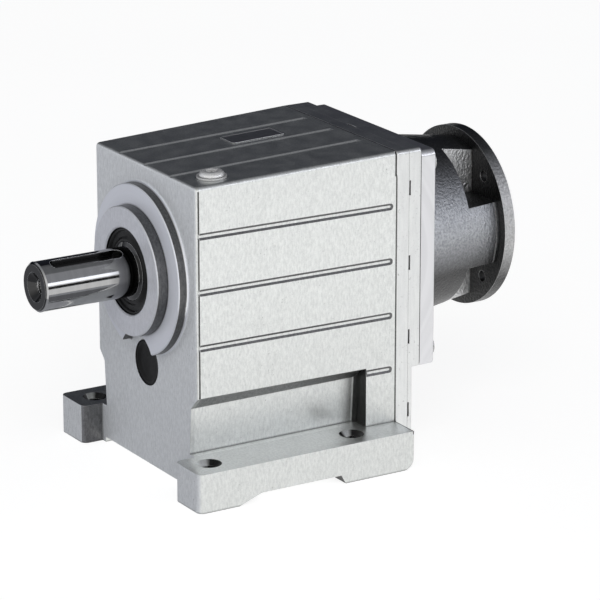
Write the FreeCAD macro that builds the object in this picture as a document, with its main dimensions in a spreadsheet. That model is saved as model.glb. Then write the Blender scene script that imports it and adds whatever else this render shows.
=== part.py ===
"""Foot-mounted in-line helical gear reducer with a motor adapter, in millimetres.

Frame: the origin is the centre of the four foot bolts on the ground plane, +Z is up,
the output shaft points along -Y and the motor flange faces +Y.
"""
import FreeCAD
import Part
import Sketcher

import math
import os

doc = FreeCAD.newDocument("gear_reducer")
sheet = doc.addObject("Spreadsheet::Sheet", "Sizes")


class Dim:
    """A size that carries its number together with the sheet expression behind it."""

    def __init__(self, value, text):
        self.value = float(value)
        self.text = text

    def _join(self, other, sign, value):
        other = as_dim(other)
        return Dim(value(self.value, other.value), f"({self.text} {sign} {other.text})")

    def __add__(self, other):
        return self._join(other, "+", lambda a, b: a + b)

    def __sub__(self, other):
        return self._join(other, "-", lambda a, b: a - b)

    def __mul__(self, other):
        return self._join(other, "*", lambda a, b: a * b)

    def __truediv__(self, other):
        return self._join(other, "/", lambda a, b: a / b)

    def __neg__(self):
        return as_dim(0) - self


def as_dim(number):
    return number if isinstance(number, Dim) else Dim(number, repr(float(number)))


def size(alias, number):
    """Write one driving dimension into the sheet and return it."""
    row = size.row
    size.row += 1
    sheet.set(f"A{row}", alias)
    sheet.set(f"B{row}", repr(float(number)))
    sheet.setAlias(f"B{row}", alias)
    return Dim(number, f"Sizes.{alias}")


size.row = 1


def cosine(angle):
    """Cosine of a size that holds degrees."""
    return Dim(math.cos(math.radians(angle.value)), f"cos({angle.text})")


# Feet: bolt places, edges measured from the bolts, and the pads they stand on
foot_bolt_x = size("foot_bolt_x", 140)
foot_bolt_y = size("foot_bolt_y", 98)
foot_bolt_inset = size("foot_bolt_inset", 2)
foot_hole_d = size("foot_hole_d", 9)
foot_hole_chamfer = size("foot_hole_chamfer", 3)
foot_edge = size("foot_edge", 15.5)
foot_inner_edge = size("foot_inner_edge", 13.5)
foot_height = size("foot_height", 24)
foot_reach = size("foot_reach", 13.5)
foot_corner = size("foot_corner", 4)
foot_heel = size("foot_heel", 7)
front_pad_margin = size("front_pad_margin", 11.5)
front_pad_ramp = size("front_pad_ramp", 15)
rear_pad_margin = size("rear_pad_margin", 13.6)
rear_pad_ramp = size("rear_pad_ramp", 3)
relief_height = size("relief_height", 5.5)
foot_width = foot_bolt_x + foot_edge * 2
foot_inner_width = foot_bolt_x - foot_inner_edge * 2

# Gears: tooth counts, helix angles in degrees, profile shifts, faces and gaps along the shafts
INPUT_TEETH = 13
MID_TEETH = 43
PINION_TEETH = 11
OUTPUT_TEETH = 34
PRESSURE_ANGLE = 20
ROOT_CLEARANCE = 0.25
LOWER_HAND = 1
UPPER_HAND = -1
axis_height = size("axis_height", 125)
centre_distance = size("centre_distance", 58.75)
first_helix = size("first_helix", 17.6)
first_shift = size("first_shift", 0.35)
first_face = size("first_face", 16)
second_helix = size("second_helix", 16.8)
second_shift = size("second_shift", 0.45)
second_face = size("second_face", 22)
backlash = size("backlash", 0.3)
pinion_margin = size("pinion_margin", 1)
stage_gap = size("stage_gap", 11)
rear_room = size("rear_room", 16.4)
gear_clearance = size("gear_clearance", 2.25)
first_module = centre_distance * 2 * cosine(first_helix) / (INPUT_TEETH + MID_TEETH)
second_module = centre_distance * 2 * cosine(second_helix) / (PINION_TEETH + OUTPUT_TEETH)
mid_tip = (centre_distance * MID_TEETH / (INPUT_TEETH + MID_TEETH)
           + first_module * (as_dim(1) - first_shift))
output_tip = (centre_distance * OUTPUT_TEETH / (PINION_TEETH + OUTPUT_TEETH)
              + second_module * (as_dim(1) - second_shift))

# Rolling bearings: bore, outside diameter and width of each shaft's pair
output_bearing_bore = size("output_bearing_bore", 35)
output_bearing_od = size("output_bearing_od", 72)
output_bearing_width = size("output_bearing_width", 17)
output_bearing_gap = size("output_bearing_gap", 22)
mid_bearing_bore = size("mid_bearing_bore", 17)
mid_bearing_od = size("mid_bearing_od", 40)
mid_bearing_width = size("mid_bearing_width", 12)
input_bearing_bore = size("input_bearing_bore", 20)
input_bearing_od = size("input_bearing_od", 47)
input_bearing_width = size("input_bearing_width", 14)
input_bearing_inset = size("input_bearing_inset", 1)
race_clearance = size("race_clearance", 0.08)
fit = size("fit", 0.05)

# Gear case: walls round the gears, drafts, recesses over the feet, grooves and bosses
case_wall = size("case_wall", 11.6)
top_wall = size("top_wall", 15.2)
side_draft = size("side_draft", 4.45)
top_draft = size("top_draft", 3.8)
belly_height = size("belly_height", 3.3)
case_edge = size("case_edge", 2.5)
front_wall = size("front_wall", 12)
recess_top = size("recess_top", 60.6)
recess_slope = size("recess_slope", 7.9)
recess_depth = size("recess_depth", 7.5)
recess_draft = size("recess_draft", 2)
recess_rear_margin = size("recess_rear_margin", 14)
recess_corner = size("recess_corner", 3)
groove_pitch = size("groove_pitch", 33.75)
groove_width = size("groove_width", 4.2)
groove_depth = size("groove_depth", 0.8)
groove_flare = size("groove_flare", 60)
groove_end_gap = size("groove_end_gap", 4.6)
short_groove = size("short_groove", 16)
top_groove_pitch = size("top_groove_pitch", 30.5)
parting_width = size("parting_width", 1)
parting_depth = size("parting_depth", 1)
parting_inset = size("parting_inset", 1.2)
boss_wall = size("boss_wall", 3)
boss_height = size("boss_height", 13.5)
ring_wall = size("ring_wall", 12.5)
ring_height = size("ring_height", 6.5)
ring_root = size("ring_root", 2)
ring_relief = size("ring_relief", 6.5)
rim_bevel = size("rim_bevel", 0.6)
hub_wall = size("hub_wall", 7)
mid_boss_wall = size("mid_boss_wall", 6)
case_front_width = (mid_tip + gear_clearance + case_wall) * 2
case_rear_width = case_front_width + side_draft * 2
case_front_top = output_tip + gear_clearance + top_wall
case_rear_top = case_front_top + top_draft
recess_width = case_front_width - recess_depth * 2
boss_d = output_bearing_od + boss_wall * 2
ring_d = boss_d + ring_wall * 2

# Rear plates
plate_length = size("plate_length", 8.5)
plate_corner = size("plate_corner", 2.5)
plate_boss_wall = size("plate_boss_wall", 6)
cover_length = size("cover_length", 8.2)
cover_lip = size("cover_lip", 3)
slot_length = size("slot_length", 9)
slot_width = size("slot_width", 1.3)
slot_depth = size("slot_depth", 1.6)
slot_pitch = size("slot_pitch", 46.2)
seam_bevel = size("seam_bevel", 0.5)
seam_slot_length = size("seam_slot_length", 15)

# Input shaft
motor_bore_d = size("motor_bore_d", 14)
motor_bore_depth = size("motor_bore_depth", 32)
motor_key_width = size("motor_key_width", 5)
motor_key_rise = size("motor_key_rise", 2.3)
input_hub_wall = size("input_hub_wall", 6)
input_hub_inset = size("input_hub_inset", 4)
input_shoulder = size("input_shoulder", 1)
input_hub_d = motor_bore_d + input_hub_wall * 2
input_neck_d = input_bearing_bore + input_shoulder * 2

# Motor adapter
gasket_length = size("gasket_length", 0.9)
gasket_inset = size("gasket_inset", 1)
flange_setback = size("flange_setback", 0.7)
flange_height = size("flange_height", 134.5)
flange_length = size("flange_length", 9.7)
flange_corner = size("flange_corner", 4)
flange_top_gap = size("flange_top_gap", 2.5)
lantern_front_d = size("lantern_front_d", 116)
lantern_rear_d = size("lantern_rear_d", 99)
lantern_length = size("lantern_length", 57)
hub_clearance = size("hub_clearance", 2.5)
pocket_floor = size("pocket_floor", 3.5)
pocket_length = size("pocket_length", 22.5)
motor_pcd = size("motor_pcd", 90)
motor_hole_d = size("motor_hole_d", 7)
rim_margin = size("rim_margin", 11)
rim_length = size("rim_length", 7.2)
spigot_d = size("spigot_d", 70)
spigot_depth = size("spigot_depth", 4)
flange_width = case_rear_width - flange_setback * 2
lantern_bore_d = input_hub_d + hub_clearance * 2
pocket_wall = lantern_bore_d / 2 + pocket_floor
rim_d = motor_pcd + rim_margin * 2

# Output shaft
shaft_d = size("shaft_d", 30)
shaft_length = size("shaft_length", 60)
shaft_chamfer = size("shaft_chamfer", 1.5)
shaft_step = size("shaft_step", 1)
shaft_key_width = size("shaft_key_width", 8)
shaft_key_depth = size("shaft_key_depth", 4)
shaft_key_length = size("shaft_key_length", 47)
shaft_key_inset = size("shaft_key_inset", 8)
key_turn = size("key_turn", 21)
centre_thread_d = size("centre_thread_d", 10)
centre_thread_depth = size("centre_thread_depth", 22)
centre_chamfer = size("centre_chamfer", 4)
collar_rise = size("collar_rise", 2.5)
collar_length = size("collar_length", 4)
gear_seat_step = size("gear_seat_step", 0.5)
shaft_tail = size("shaft_tail", 4)
clip_width = size("clip_width", 1.5)
clip_depth = size("clip_depth", 1.2)
clip_rise = size("clip_rise", 4)
collar_d = output_bearing_bore + collar_rise * 2
gear_seat_d = output_bearing_bore - gear_seat_step * 2
clip_d = gear_seat_d + clip_rise * 2

# Middle shaft
mid_seat_d = size("mid_seat_d", 25)
mid_shoulder = size("mid_shoulder", 2)
mid_neck_d = mid_bearing_bore + mid_shoulder * 2

# Seals, cap and trim
seal_od = size("seal_od", 52)
seal_width = size("seal_width", 7)
seal_recess = size("seal_recess", 1.5)
seal_lead = size("seal_lead", 0.8)
seal_land = size("seal_land", 0.05)
seal_gap = size("seal_gap", 2)
input_seal_od = size("input_seal_od", 40)
cap_d = size("cap_d", 28)
cap_recess = size("cap_recess", 0.5)
cap_length = size("cap_length", 6)
cap_wall = size("cap_wall", 2)
plug_y = size("plug_y", 19.1)
plug_thread_d = size("plug_thread_d", 10)
plug_thread_length = size("plug_thread_length", 8)
plug_head_d = size("plug_head_d", 15)
plug_head_height = size("plug_head_height", 3.2)
plug_socket_d = size("plug_socket_d", 7)
plug_socket_depth = size("plug_socket_depth", 2.4)
washer_d = size("washer_d", 18)
washer_height = size("washer_height", 1)
rating_y = size("rating_y", 82.5)
rating_width = size("rating_width", 17)
rating_length = size("rating_length", 36)
rating_height = size("rating_height", 0.6)
plug_x = top_groove_pitch * 1.5
rating_x = -top_groove_pitch / 2

# Fasteners
screw_d = size("screw_d", 8)
screw_head_d = size("screw_head_d", 13)
screw_head_height = size("screw_head_height", 3.5)
screw_head_bevel = size("screw_head_bevel", 0.6)
screw_grip = size("screw_grip", 16)
screw_inset = size("screw_inset", 9.5)
screw_clearance = size("screw_clearance", 0.5)
thread_runout = size("thread_runout", 2)
plate_screw_d = size("plate_screw_d", 6)
plate_screw_head_d = size("plate_screw_head_d", 10)
plate_screw_head_height = size("plate_screw_head_height", 6)
plate_screw_grip = size("plate_screw_grip", 14)
plate_screw_room = size("plate_screw_room", 0.5)
plate_screw_inset = size("plate_screw_inset", 8.7)
dowel_d = size("dowel_d", 6)
dowel_length = size("dowel_length", 14)
dowel_z = size("dowel_z", 30)
plate_screw_sink = plate_screw_head_height - cover_lip

# Places along the axis, all measured from the foot bolts' centre
front_y = -(foot_bolt_inset + foot_bolt_y / 2)
foot_front_y = front_y - foot_reach
boss_y = front_y - boss_height
shaft_end_y = boss_y - shaft_length
seal_y = boss_y + seal_recess
front_bearing_y = seal_y + seal_width + seal_gap
rear_bearing_y = front_bearing_y + output_bearing_width + output_bearing_gap
hub_rear_y = rear_bearing_y + output_bearing_width
mid_front_y = front_bearing_y + output_bearing_width + (output_bearing_gap - mid_bearing_width) / 2
gear_y = hub_rear_y + collar_length
gear_end_y = gear_y + second_face
first_gear_y = gear_end_y + stage_gap
first_gear_end_y = first_gear_y + first_face
mid_rear_y = first_gear_end_y + rear_room
rear_y = mid_rear_y + mid_bearing_width
case_length = rear_y - front_y
plate_y = rear_y + plate_length
cover_y = plate_y + cover_length
adapter_y = cover_y + gasket_length
flange_y = adapter_y + flange_length
rim_y = flange_y + lantern_length
motor_face_y = rim_y + rim_length
input_front_bearing_y = plate_y - input_bearing_width
input_rear_bearing_y = adapter_y + input_bearing_inset
recess_rear_y = foot_bolt_y / 2 + recess_rear_margin

# Heights, and the screw patterns across the axis
mid_height = axis_height - centre_distance
top_front = axis_height + case_front_top
top_rear = axis_height + case_rear_top
flange_high = top_rear - flange_top_gap
flange_low = flange_high - flange_height
pattern_height = flange_high - flange_height / 2
screw_x = flange_width / 2 - screw_inset
screw_low = flange_low + screw_inset
screw_high = flange_high - screw_inset
plate_screw_x = case_rear_width / 2 - plate_screw_inset
plate_screw_z = (belly_height + flange_low) / 2


def new_body(label):
    body = doc.addObject("PartDesign::Body", label)
    body.Label = label
    return body


def new_sketch(body, role, offset=None, tilt=None):
    """A sketch on an origin plane, moved along its normal and turned about one of its axes."""
    sketch = body.newObject("Sketcher::SketchObject", f"{body.Name}_sketch")
    plane = [f for f in body.Origin.OriginFeatures if f.Role == role][0]
    sketch.AttachmentSupport = [(plane, "")]
    sketch.MapMode = "FlatFace"
    turn = FreeCAD.Rotation()
    if tilt:
        axis, angle = tilt
        turn = FreeCAD.Rotation(axis, angle.value)
    base = FreeCAD.Vector(0, 0, offset.value if offset else 0)
    sketch.AttachmentOffset = FreeCAD.Placement(base, turn)
    if offset:
        sketch.setExpression("AttachmentOffset.Base.z", offset.text)
    if tilt:
        sketch.setExpression("AttachmentOffset.Rotation.Angle", angle.text)
    return sketch


def at_y(body, y):
    """A sketch across the axis at place y; its normal points to the front, along -Y."""
    return new_sketch(body, "XZ_Plane", -as_dim(y))


def at_z(body, z):
    return new_sketch(body, "XY_Plane", as_dim(z))


def pin_point(sketch, geometry, vertex, x, y):
    """Bind one point of a sketch to two sizes."""
    for kind, place in (("DistanceX", as_dim(x)), ("DistanceY", as_dim(y))):
        number = sketch.addConstraint(Sketcher.Constraint(kind, -1, 1, geometry, vertex, place.value))
        sketch.setExpression(f"Constraints[{number}]", place.text)


def vector(x, y):
    return FreeCAD.Vector(as_dim(x).value, as_dim(y).value, 0)


def polygon(sketch, points):
    """A closed outline of straight lines through the given places."""
    first = None
    for k, (x, y) in enumerate(points):
        nx, ny = points[(k + 1) % len(points)]
        line = sketch.addGeometry(Part.LineSegment(vector(x, y), vector(nx, ny)), False)
        first = line if first is None else first
        pin_point(sketch, line, 1, x, y)
        if k:
            sketch.addConstraint(Sketcher.Constraint("Coincident", line - 1, 2, line, 1))
    sketch.addConstraint(Sketcher.Constraint("Coincident", line, 2, first, 1))


def rectangle(sketch, left, right, low, high):
    polygon(sketch, [(left, low), (right, low), (right, high), (left, high)])


def circle(sketch, x, y, radius):
    radius = as_dim(radius)
    ring = sketch.addGeometry(Part.Circle(vector(x, y), FreeCAD.Vector(0, 0, 1), radius.value), False)
    pin_point(sketch, ring, 3, x, y)
    number = sketch.addConstraint(Sketcher.Constraint("Radius", ring, radius.value))
    sketch.setExpression(f"Constraints[{number}]", radius.text)


def slot(sketch, start, end, middle, width):
    """A straight groove outline along the sketch's X with a half-round far end."""
    half = as_dim(width) / 2
    low = middle - half
    high = middle + half
    lower = sketch.addGeometry(Part.LineSegment(vector(start, low), vector(end, low)), False)
    bend = Part.Circle(vector(end, middle), FreeCAD.Vector(0, 0, 1), half.value)
    arc = sketch.addGeometry(Part.ArcOfCircle(bend, -math.pi / 2, math.pi / 2), False)
    upper = sketch.addGeometry(Part.LineSegment(vector(end, high), vector(start, high)), False)
    close = sketch.addGeometry(Part.LineSegment(vector(start, high), vector(start, low)), False)
    pin_point(sketch, lower, 1, start, low)
    pin_point(sketch, lower, 2, end, low)
    pin_point(sketch, upper, 1, end, high)
    pin_point(sketch, upper, 2, start, high)
    for a, b, c, d in ((lower, 2, arc, 1), (arc, 2, upper, 1), (upper, 2, close, 1), (close, 2, lower, 1)):
        sketch.addConstraint(Sketcher.Constraint("Coincident", a, b, c, d))
    number = sketch.addConstraint(Sketcher.Constraint("DistanceX", -1, 1, arc, 3, as_dim(end).value))
    sketch.setExpression(f"Constraints[{number}]", as_dim(end).text)


def extrude(body, kind, sketch, length, reverse=False, both=False, flare=None):
    """A pad or a pocket of a sketch; a pad follows the sketch's normal and a pocket goes against it.

    A flare is the angle in degrees by which the walls lean in on their way.
    """
    feature = body.newObject(f"PartDesign::{kind}", f"{body.Name}_{kind.lower()}")
    feature.Profile = sketch
    length = as_dim(length)
    feature.Length = length.value
    feature.setExpression("Length", length.text)
    feature.Reversed = reverse
    if both:
        feature.SideType = "Symmetric"
    if flare is not None:
        feature.TaperAngle = -flare.value
        feature.setExpression("TaperAngle", f"-({flare.text})")
    return settle(body, feature)


def settle(body, feature):
    doc.recompute()
    if feature.Shape.isNull() or not feature.Shape.isValid():
        raise RuntimeError(f"{feature.Label} of {body.Label} has no sound shape")
    return feature


def pad(body, sketch, length, **choice):
    return extrude(body, "Pad", sketch, length, **choice)


def pocket(body, sketch, length, **choice):
    before = body.Shape.Volume
    feature = extrude(body, "Pocket", sketch, length, **choice)
    if feature.Shape.Volume > before - 1e-6:
        raise RuntimeError(f"{feature.Label} of {body.Label} cuts nothing")
    return feature


def revolve(body, sketch):
    """Turn a profile, drawn as length along Y against height, about the sketch's own X axis."""
    feature = body.newObject("PartDesign::Revolution", f"{body.Name}_revolution")
    feature.Profile = sketch
    feature.ReferenceAxis = (sketch, ["H_Axis"])
    feature.Angle = 360
    return settle(body, feature)


def turned(label, height, profile):
    """A body turned about an axis along Y at the given height; the profile lists (y, radius)."""
    body = new_body(label)
    sketch = new_sketch(body, "YZ_Plane")
    polygon(sketch, profile)
    revolve(body, sketch)
    body.Placement = FreeCAD.Placement(FreeCAD.Vector(0, 0, height.value), FreeCAD.Rotation())
    body.setExpression("Placement.Base.z", height.text)
    return body


def ring(label, height, start, length, inner, outer):
    """A plain ring: its two diameters and its place along the axis."""
    end = start + length
    low = inner / 2
    high = outer / 2
    return turned(label, height, [(start, low), (end, low), (end, high), (start, high)])


def finish_edges(body, kind, chosen, amount):
    """Round or bevel the edges of the body's last feature that the test picks."""
    last = body.Tip
    names = [f"Edge{k + 1}" for k, edge in enumerate(last.Shape.Edges) if chosen(edge)]
    if not names:
        raise RuntimeError(f"no edge to finish on {body.Label}")
    feature = body.newObject(f"PartDesign::{kind}", f"{body.Name}_{kind.lower()}")
    feature.Base = (last, names)
    key = "Radius" if kind == "Fillet" else "Size"
    setattr(feature, key, amount.value)
    feature.setExpression(key, amount.text)
    return settle(body, feature)


def group(label, members):
    """One node of several equal solids."""
    node = doc.addObject("Part::Compound", label)
    node.Label = label
    node.Links = members
    return node


def near(a, b):
    return abs(a - as_dim(b).value) < 1e-4


def along(edge, axis):
    """Whether an edge is a straight line along one axis of the frame."""
    ends = [v.Point for v in edge.Vertexes]
    if len(ends) < 2:
        return False
    step = ends[1] - ends[0]
    return near(edge.Length, step.Length) and abs(step[axis]) > 0.9 * step.Length


def rim(edge, axis, place, radius):
    """Whether an edge is a whole circle of that radius, across an axis of the frame at that place."""
    whole = len(edge.Vertexes) == 1 and near(edge.Length, radius * 2 * math.pi)
    return whole and near(edge.CenterOfMass[axis], place)


def lies_at(edge, y):
    """Whether an edge lies in the plane across the axis at place y."""
    return all(near(v.Y, y) for v in edge.Vertexes)


# Drafts of the case: the sides and the top open towards the rear
side_slope = side_draft / case_length
top_slope = top_draft / case_length
side_tilt = Dim(-math.degrees(math.atan(side_slope.value)), f"-atan({side_slope.text})")
top_tilt = Dim(math.degrees(math.atan(top_slope.value)), f"atan({top_slope.text})")
side_at_origin = case_front_width / 2 - side_slope * front_y
top_at_origin = top_front - top_slope * front_y


def side_sketch(body):
    """A sketch that lies on the drafted right side of the case."""
    return new_sketch(body, "YZ_Plane", side_at_origin, (FreeCAD.Vector(0, 1, 0), side_tilt))


def top_sketch(body, rise=0):
    """A sketch that lies on the drafted top of the case, or a little above it."""
    return new_sketch(body, "XY_Plane", top_at_origin + rise, (FreeCAD.Vector(1, 0, 0), top_tilt))


def mirror(body, originals):
    """Repeat features of the right side on the left."""
    feature = body.newObject("PartDesign::Mirrored", f"{body.Name}_mirrored")
    feature.Originals = originals
    plane = [f for f in body.Origin.OriginFeatures if f.Role == "YZ_Plane"][0]
    feature.MirrorPlane = (plane, [""])
    body.Tip = feature
    return settle(body, feature)


def corner_circles(sketch, x, low, high, radius):
    for sx in (-1, 1):
        for z in (low, high):
            circle(sketch, x * sx, z, radius)


def make_gear_case():
    """The cast case: two feet, a drafted box, recesses over the feet, grooves, boss rings and bores."""
    body = new_body("gear_case")
    feet = at_z(body, 0)
    for side in (-1, 1):
        inner = recess_width / 2 * side
        outer = foot_width / 2 * side
        step = foot_inner_width / 2 * side
        polygon(feet, [(inner, front_y), (step, front_y), (step, foot_front_y), (outer, foot_front_y),
                       (outer, rear_y), (inner, rear_y)])
    pad(body, feet, foot_height)

    def foot_corners(edge):
        return along(edge, 2) and near(edge.Vertexes[0].Y, foot_front_y)

    def foot_heels(edge):
        end = edge.Vertexes[0]
        return along(edge, 0) and near(end.Y, rear_y) and near(end.Z, 0)

    finish_edges(body, "Fillet", foot_corners, foot_corner)
    finish_edges(body, "Fillet", foot_heels, foot_heel)
    relief = new_sketch(body, "YZ_Plane")
    relief_start = front_pad_margin - foot_bolt_y / 2
    relief_end = foot_bolt_y / 2 - rear_pad_margin
    under = -relief_height
    polygon(relief, [(relief_start, 0), (relief_start + front_pad_ramp, relief_height),
                     (relief_end - rear_pad_ramp, relief_height), (relief_end, 0),
                     (relief_end, under), (relief_start, under)])
    pocket(body, relief, foot_width * 2, both=True)

    plan = at_z(body, belly_height)
    polygon(plan, [(-case_front_width / 2, front_y), (case_front_width / 2, front_y),
                   (case_rear_width / 2, rear_y), (-case_rear_width / 2, rear_y)])
    pad(body, plan, top_rear - belly_height)
    fall = new_sketch(body, "YZ_Plane")
    polygon(fall, [(front_y, top_front), (rear_y, top_rear), (front_y, top_rear)])
    pocket(body, fall, case_rear_width * 2, both=True)

    recess = at_y(body, front_y)
    deep = recess_width / 2
    shallow = case_front_width / 2
    for side in (-1, 1):
        far = foot_width / 2 * side
        polygon(recess, [(shallow * side, recess_top), (deep * side, recess_top - recess_slope),
                         ((deep - recess_draft) * side, foot_height), (far, foot_height),
                         (far, recess_top)])
    pocket(body, recess, recess_rear_y - front_y)

    def recess_corners(edge):
        ends = edge.Vertexes
        inside = all(near(v.Y, recess_rear_y) and abs(v.X) < deep.value + 0.01 for v in ends)
        return inside and along(edge, 2)

    finish_edges(body, "Fillet", recess_corners, recess_corner)

    def sharp_edges(edge):
        low = min(v.Z for v in edge.Vertexes)
        front_most = max(v.Y for v in edge.Vertexes) < front_y.value + 0.01
        upright = along(edge, 2) and front_most and low > recess_top.value - 0.01
        return upright or (low > top_front.value - 0.01 and (front_most or along(edge, 1)))

    finish_edges(body, "Fillet", sharp_edges, case_edge)

    ring_face = at_y(body, front_y)
    circle(ring_face, 0, axis_height, ring_d / 2)
    pad(body, ring_face, ring_height)
    finish_edges(body, "Fillet", lambda edge: rim(edge, 1, front_y, ring_d / 2), ring_root)
    finish_edges(body, "Chamfer", lambda edge: rim(edge, 1, front_y - ring_height, ring_d / 2), rim_bevel)
    gap = at_y(body, front_y)
    circle(gap, 0, mid_height, cap_d / 2 + ring_relief)
    pocket(body, gap, ring_height, reverse=True)
    boss_face = at_y(body, front_y)
    circle(boss_face, 0, axis_height, boss_d / 2)
    pad(body, boss_face, boss_height)
    finish_edges(body, "Chamfer", lambda edge: rim(edge, 1, boss_y, boss_d / 2), rim_bevel)

    for height, tip in ((axis_height, output_tip), (mid_height, mid_tip)):
        cavity = at_y(body, rear_y)
        circle(cavity, 0, height, tip + gear_clearance)
        pocket(body, cavity, case_length - front_wall, reverse=True)

    hub = at_y(body, hub_rear_y)
    circle(hub, 0, axis_height, output_bearing_od / 2 + hub_wall)
    pad(body, hub, hub_rear_y - front_y)
    mid_hub = at_y(body, mid_front_y + mid_bearing_width)
    circle(mid_hub, 0, mid_height, mid_bearing_od / 2 + mid_boss_wall)
    pad(body, mid_hub, mid_front_y + mid_bearing_width - front_y)

    bearing_bore = at_y(body, hub_rear_y)
    circle(bearing_bore, 0, axis_height, output_bearing_od / 2)
    pocket(body, bearing_bore, hub_rear_y - front_bearing_y, reverse=True)
    seal_bore = at_y(body, boss_y)
    circle(seal_bore, 0, axis_height, seal_od / 2)
    pocket(body, seal_bore, front_bearing_y - boss_y)
    finish_edges(body, "Chamfer", lambda edge: rim(edge, 1, boss_y, seal_od / 2), seal_lead)
    mid_bore = at_y(body, mid_front_y + mid_bearing_width)
    circle(mid_bore, 0, mid_height, mid_bearing_od / 2)
    pocket(body, mid_bore, mid_bearing_width, reverse=True)
    cap_bore = at_y(body, boss_y)
    circle(cap_bore, 0, mid_height, cap_d / 2)
    pocket(body, cap_bore, mid_front_y - boss_y)

    grooves = side_sketch(body)
    groove_start = foot_front_y
    groove_end = rear_y - groove_end_gap
    for k in (1, 0, -1):
        slot(grooves, groove_start, groove_end, axis_height + groove_pitch * k, groove_width)
    slot(grooves, groove_end - short_groove, groove_end, axis_height - groove_pitch * 2, groove_width)
    right_grooves = pocket(body, grooves, groove_depth, flare=groove_flare)
    parting = side_sketch(body)
    parting_y = front_y + case_edge - parting_inset
    rectangle(parting, parting_y, parting_y + parting_width, recess_top, top_front - case_edge)
    right_parting = pocket(body, parting, parting_depth)
    mirror(body, [right_grooves, right_parting])
    tops = top_sketch(body)
    for k in (-1, 0, 1):
        middle = top_groove_pitch * k
        rectangle(tops, middle - groove_width / 2, middle + groove_width / 2, groove_start, groove_end)
    pocket(body, tops, groove_depth, flare=groove_flare)
    seam_ends = at_y(body, rear_y)
    edge = case_rear_width / 2
    for side in (-1, 1):
        rectangle(seam_ends, (edge - slot_depth) * side, (edge + slot_depth) * side,
                  top_rear - seam_slot_length, top_rear + slot_depth)
    pocket(body, seam_ends, slot_width, reverse=True)

    filler = top_sketch(body)
    circle(filler, plug_x, front_y + plug_y, plug_thread_d / 2 + fit)
    pocket(body, filler, plug_thread_length + thread_runout)

    screws = at_y(body, rear_y)
    corner_circles(screws, screw_x, screw_low, screw_high, screw_d / 2 + fit)
    pocket(body, screws, screw_grip + thread_runout, reverse=True)
    pins = at_y(body, rear_y)
    for side in (-1, 1):
        circle(pins, plate_screw_x * side, plate_screw_z, plate_screw_d / 2 + fit)
    pocket(body, pins, plate_screw_grip + thread_runout, reverse=True)
    dowels = at_y(body, rear_y)
    for side in (-1, 1):
        circle(dowels, plate_screw_x * side, axis_height + dowel_z * side, dowel_d / 2 + fit)
    pocket(body, dowels, dowel_length / 2, reverse=True)

    holes = at_z(body, foot_height)
    for sx in (-1, 1):
        for sy in (-1, 1):
            circle(holes, foot_bolt_x / 2 * sx, foot_bolt_y / 2 * sy, foot_hole_d / 2)
    pocket(body, holes, foot_height)

    finish_edges(body, "Chamfer", lambda edge: rim(edge, 2, foot_height, foot_hole_d / 2), foot_hole_chamfer)
    return body


def make_bearing_plate():
    """The plate that closes the case and carries the rear bearing of the middle shaft."""
    body = new_body("bearing_plate")
    outline = at_y(body, plate_y)
    rectangle(outline, -case_rear_width / 2, case_rear_width / 2, belly_height, top_rear)
    pad(body, outline, plate_length)

    def corners(edge):
        return along(edge, 1) and edge.Vertexes[0].Z > axis_height.value

    finish_edges(body, "Fillet", corners, plate_corner)
    finish_edges(body, "Chamfer", lambda edge: lies_at(edge, rear_y), seam_bevel)
    for height, diameter, start in ((mid_height, mid_bearing_od, mid_rear_y),
                                    (axis_height, input_bearing_od, input_front_bearing_y)):
        boss = at_y(body, rear_y)
        circle(boss, 0, height, diameter / 2 + plate_boss_wall)
        pad(body, boss, rear_y - start)
    bore = at_y(body, plate_y)
    circle(bore, 0, axis_height, input_bearing_od / 2)
    pocket(body, bore, input_bearing_width, reverse=True)
    seat = at_y(body, rear_y)
    circle(seat, 0, mid_height, mid_bearing_od / 2)
    pocket(body, seat, mid_bearing_width, reverse=True)
    holes = at_y(body, plate_y)
    corner_circles(holes, screw_x, screw_low, screw_high, screw_d / 2 + screw_clearance)
    for side in (-1, 1):
        circle(holes, plate_screw_x * side, plate_screw_z, plate_screw_d / 2 + screw_clearance)
    pocket(body, holes, plate_length, reverse=True)
    sinks = at_y(body, plate_y)
    for side in (-1, 1):
        circle(sinks, plate_screw_x * side, plate_screw_z, plate_screw_head_d / 2 + plate_screw_room)
    pocket(body, sinks, plate_screw_sink, reverse=True)
    pins = at_y(body, rear_y)
    for side in (-1, 1):
        circle(pins, plate_screw_x * side, axis_height + dowel_z * side, dowel_d / 2 + fit)
    pocket(body, pins, dowel_length / 2)
    return body


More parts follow.
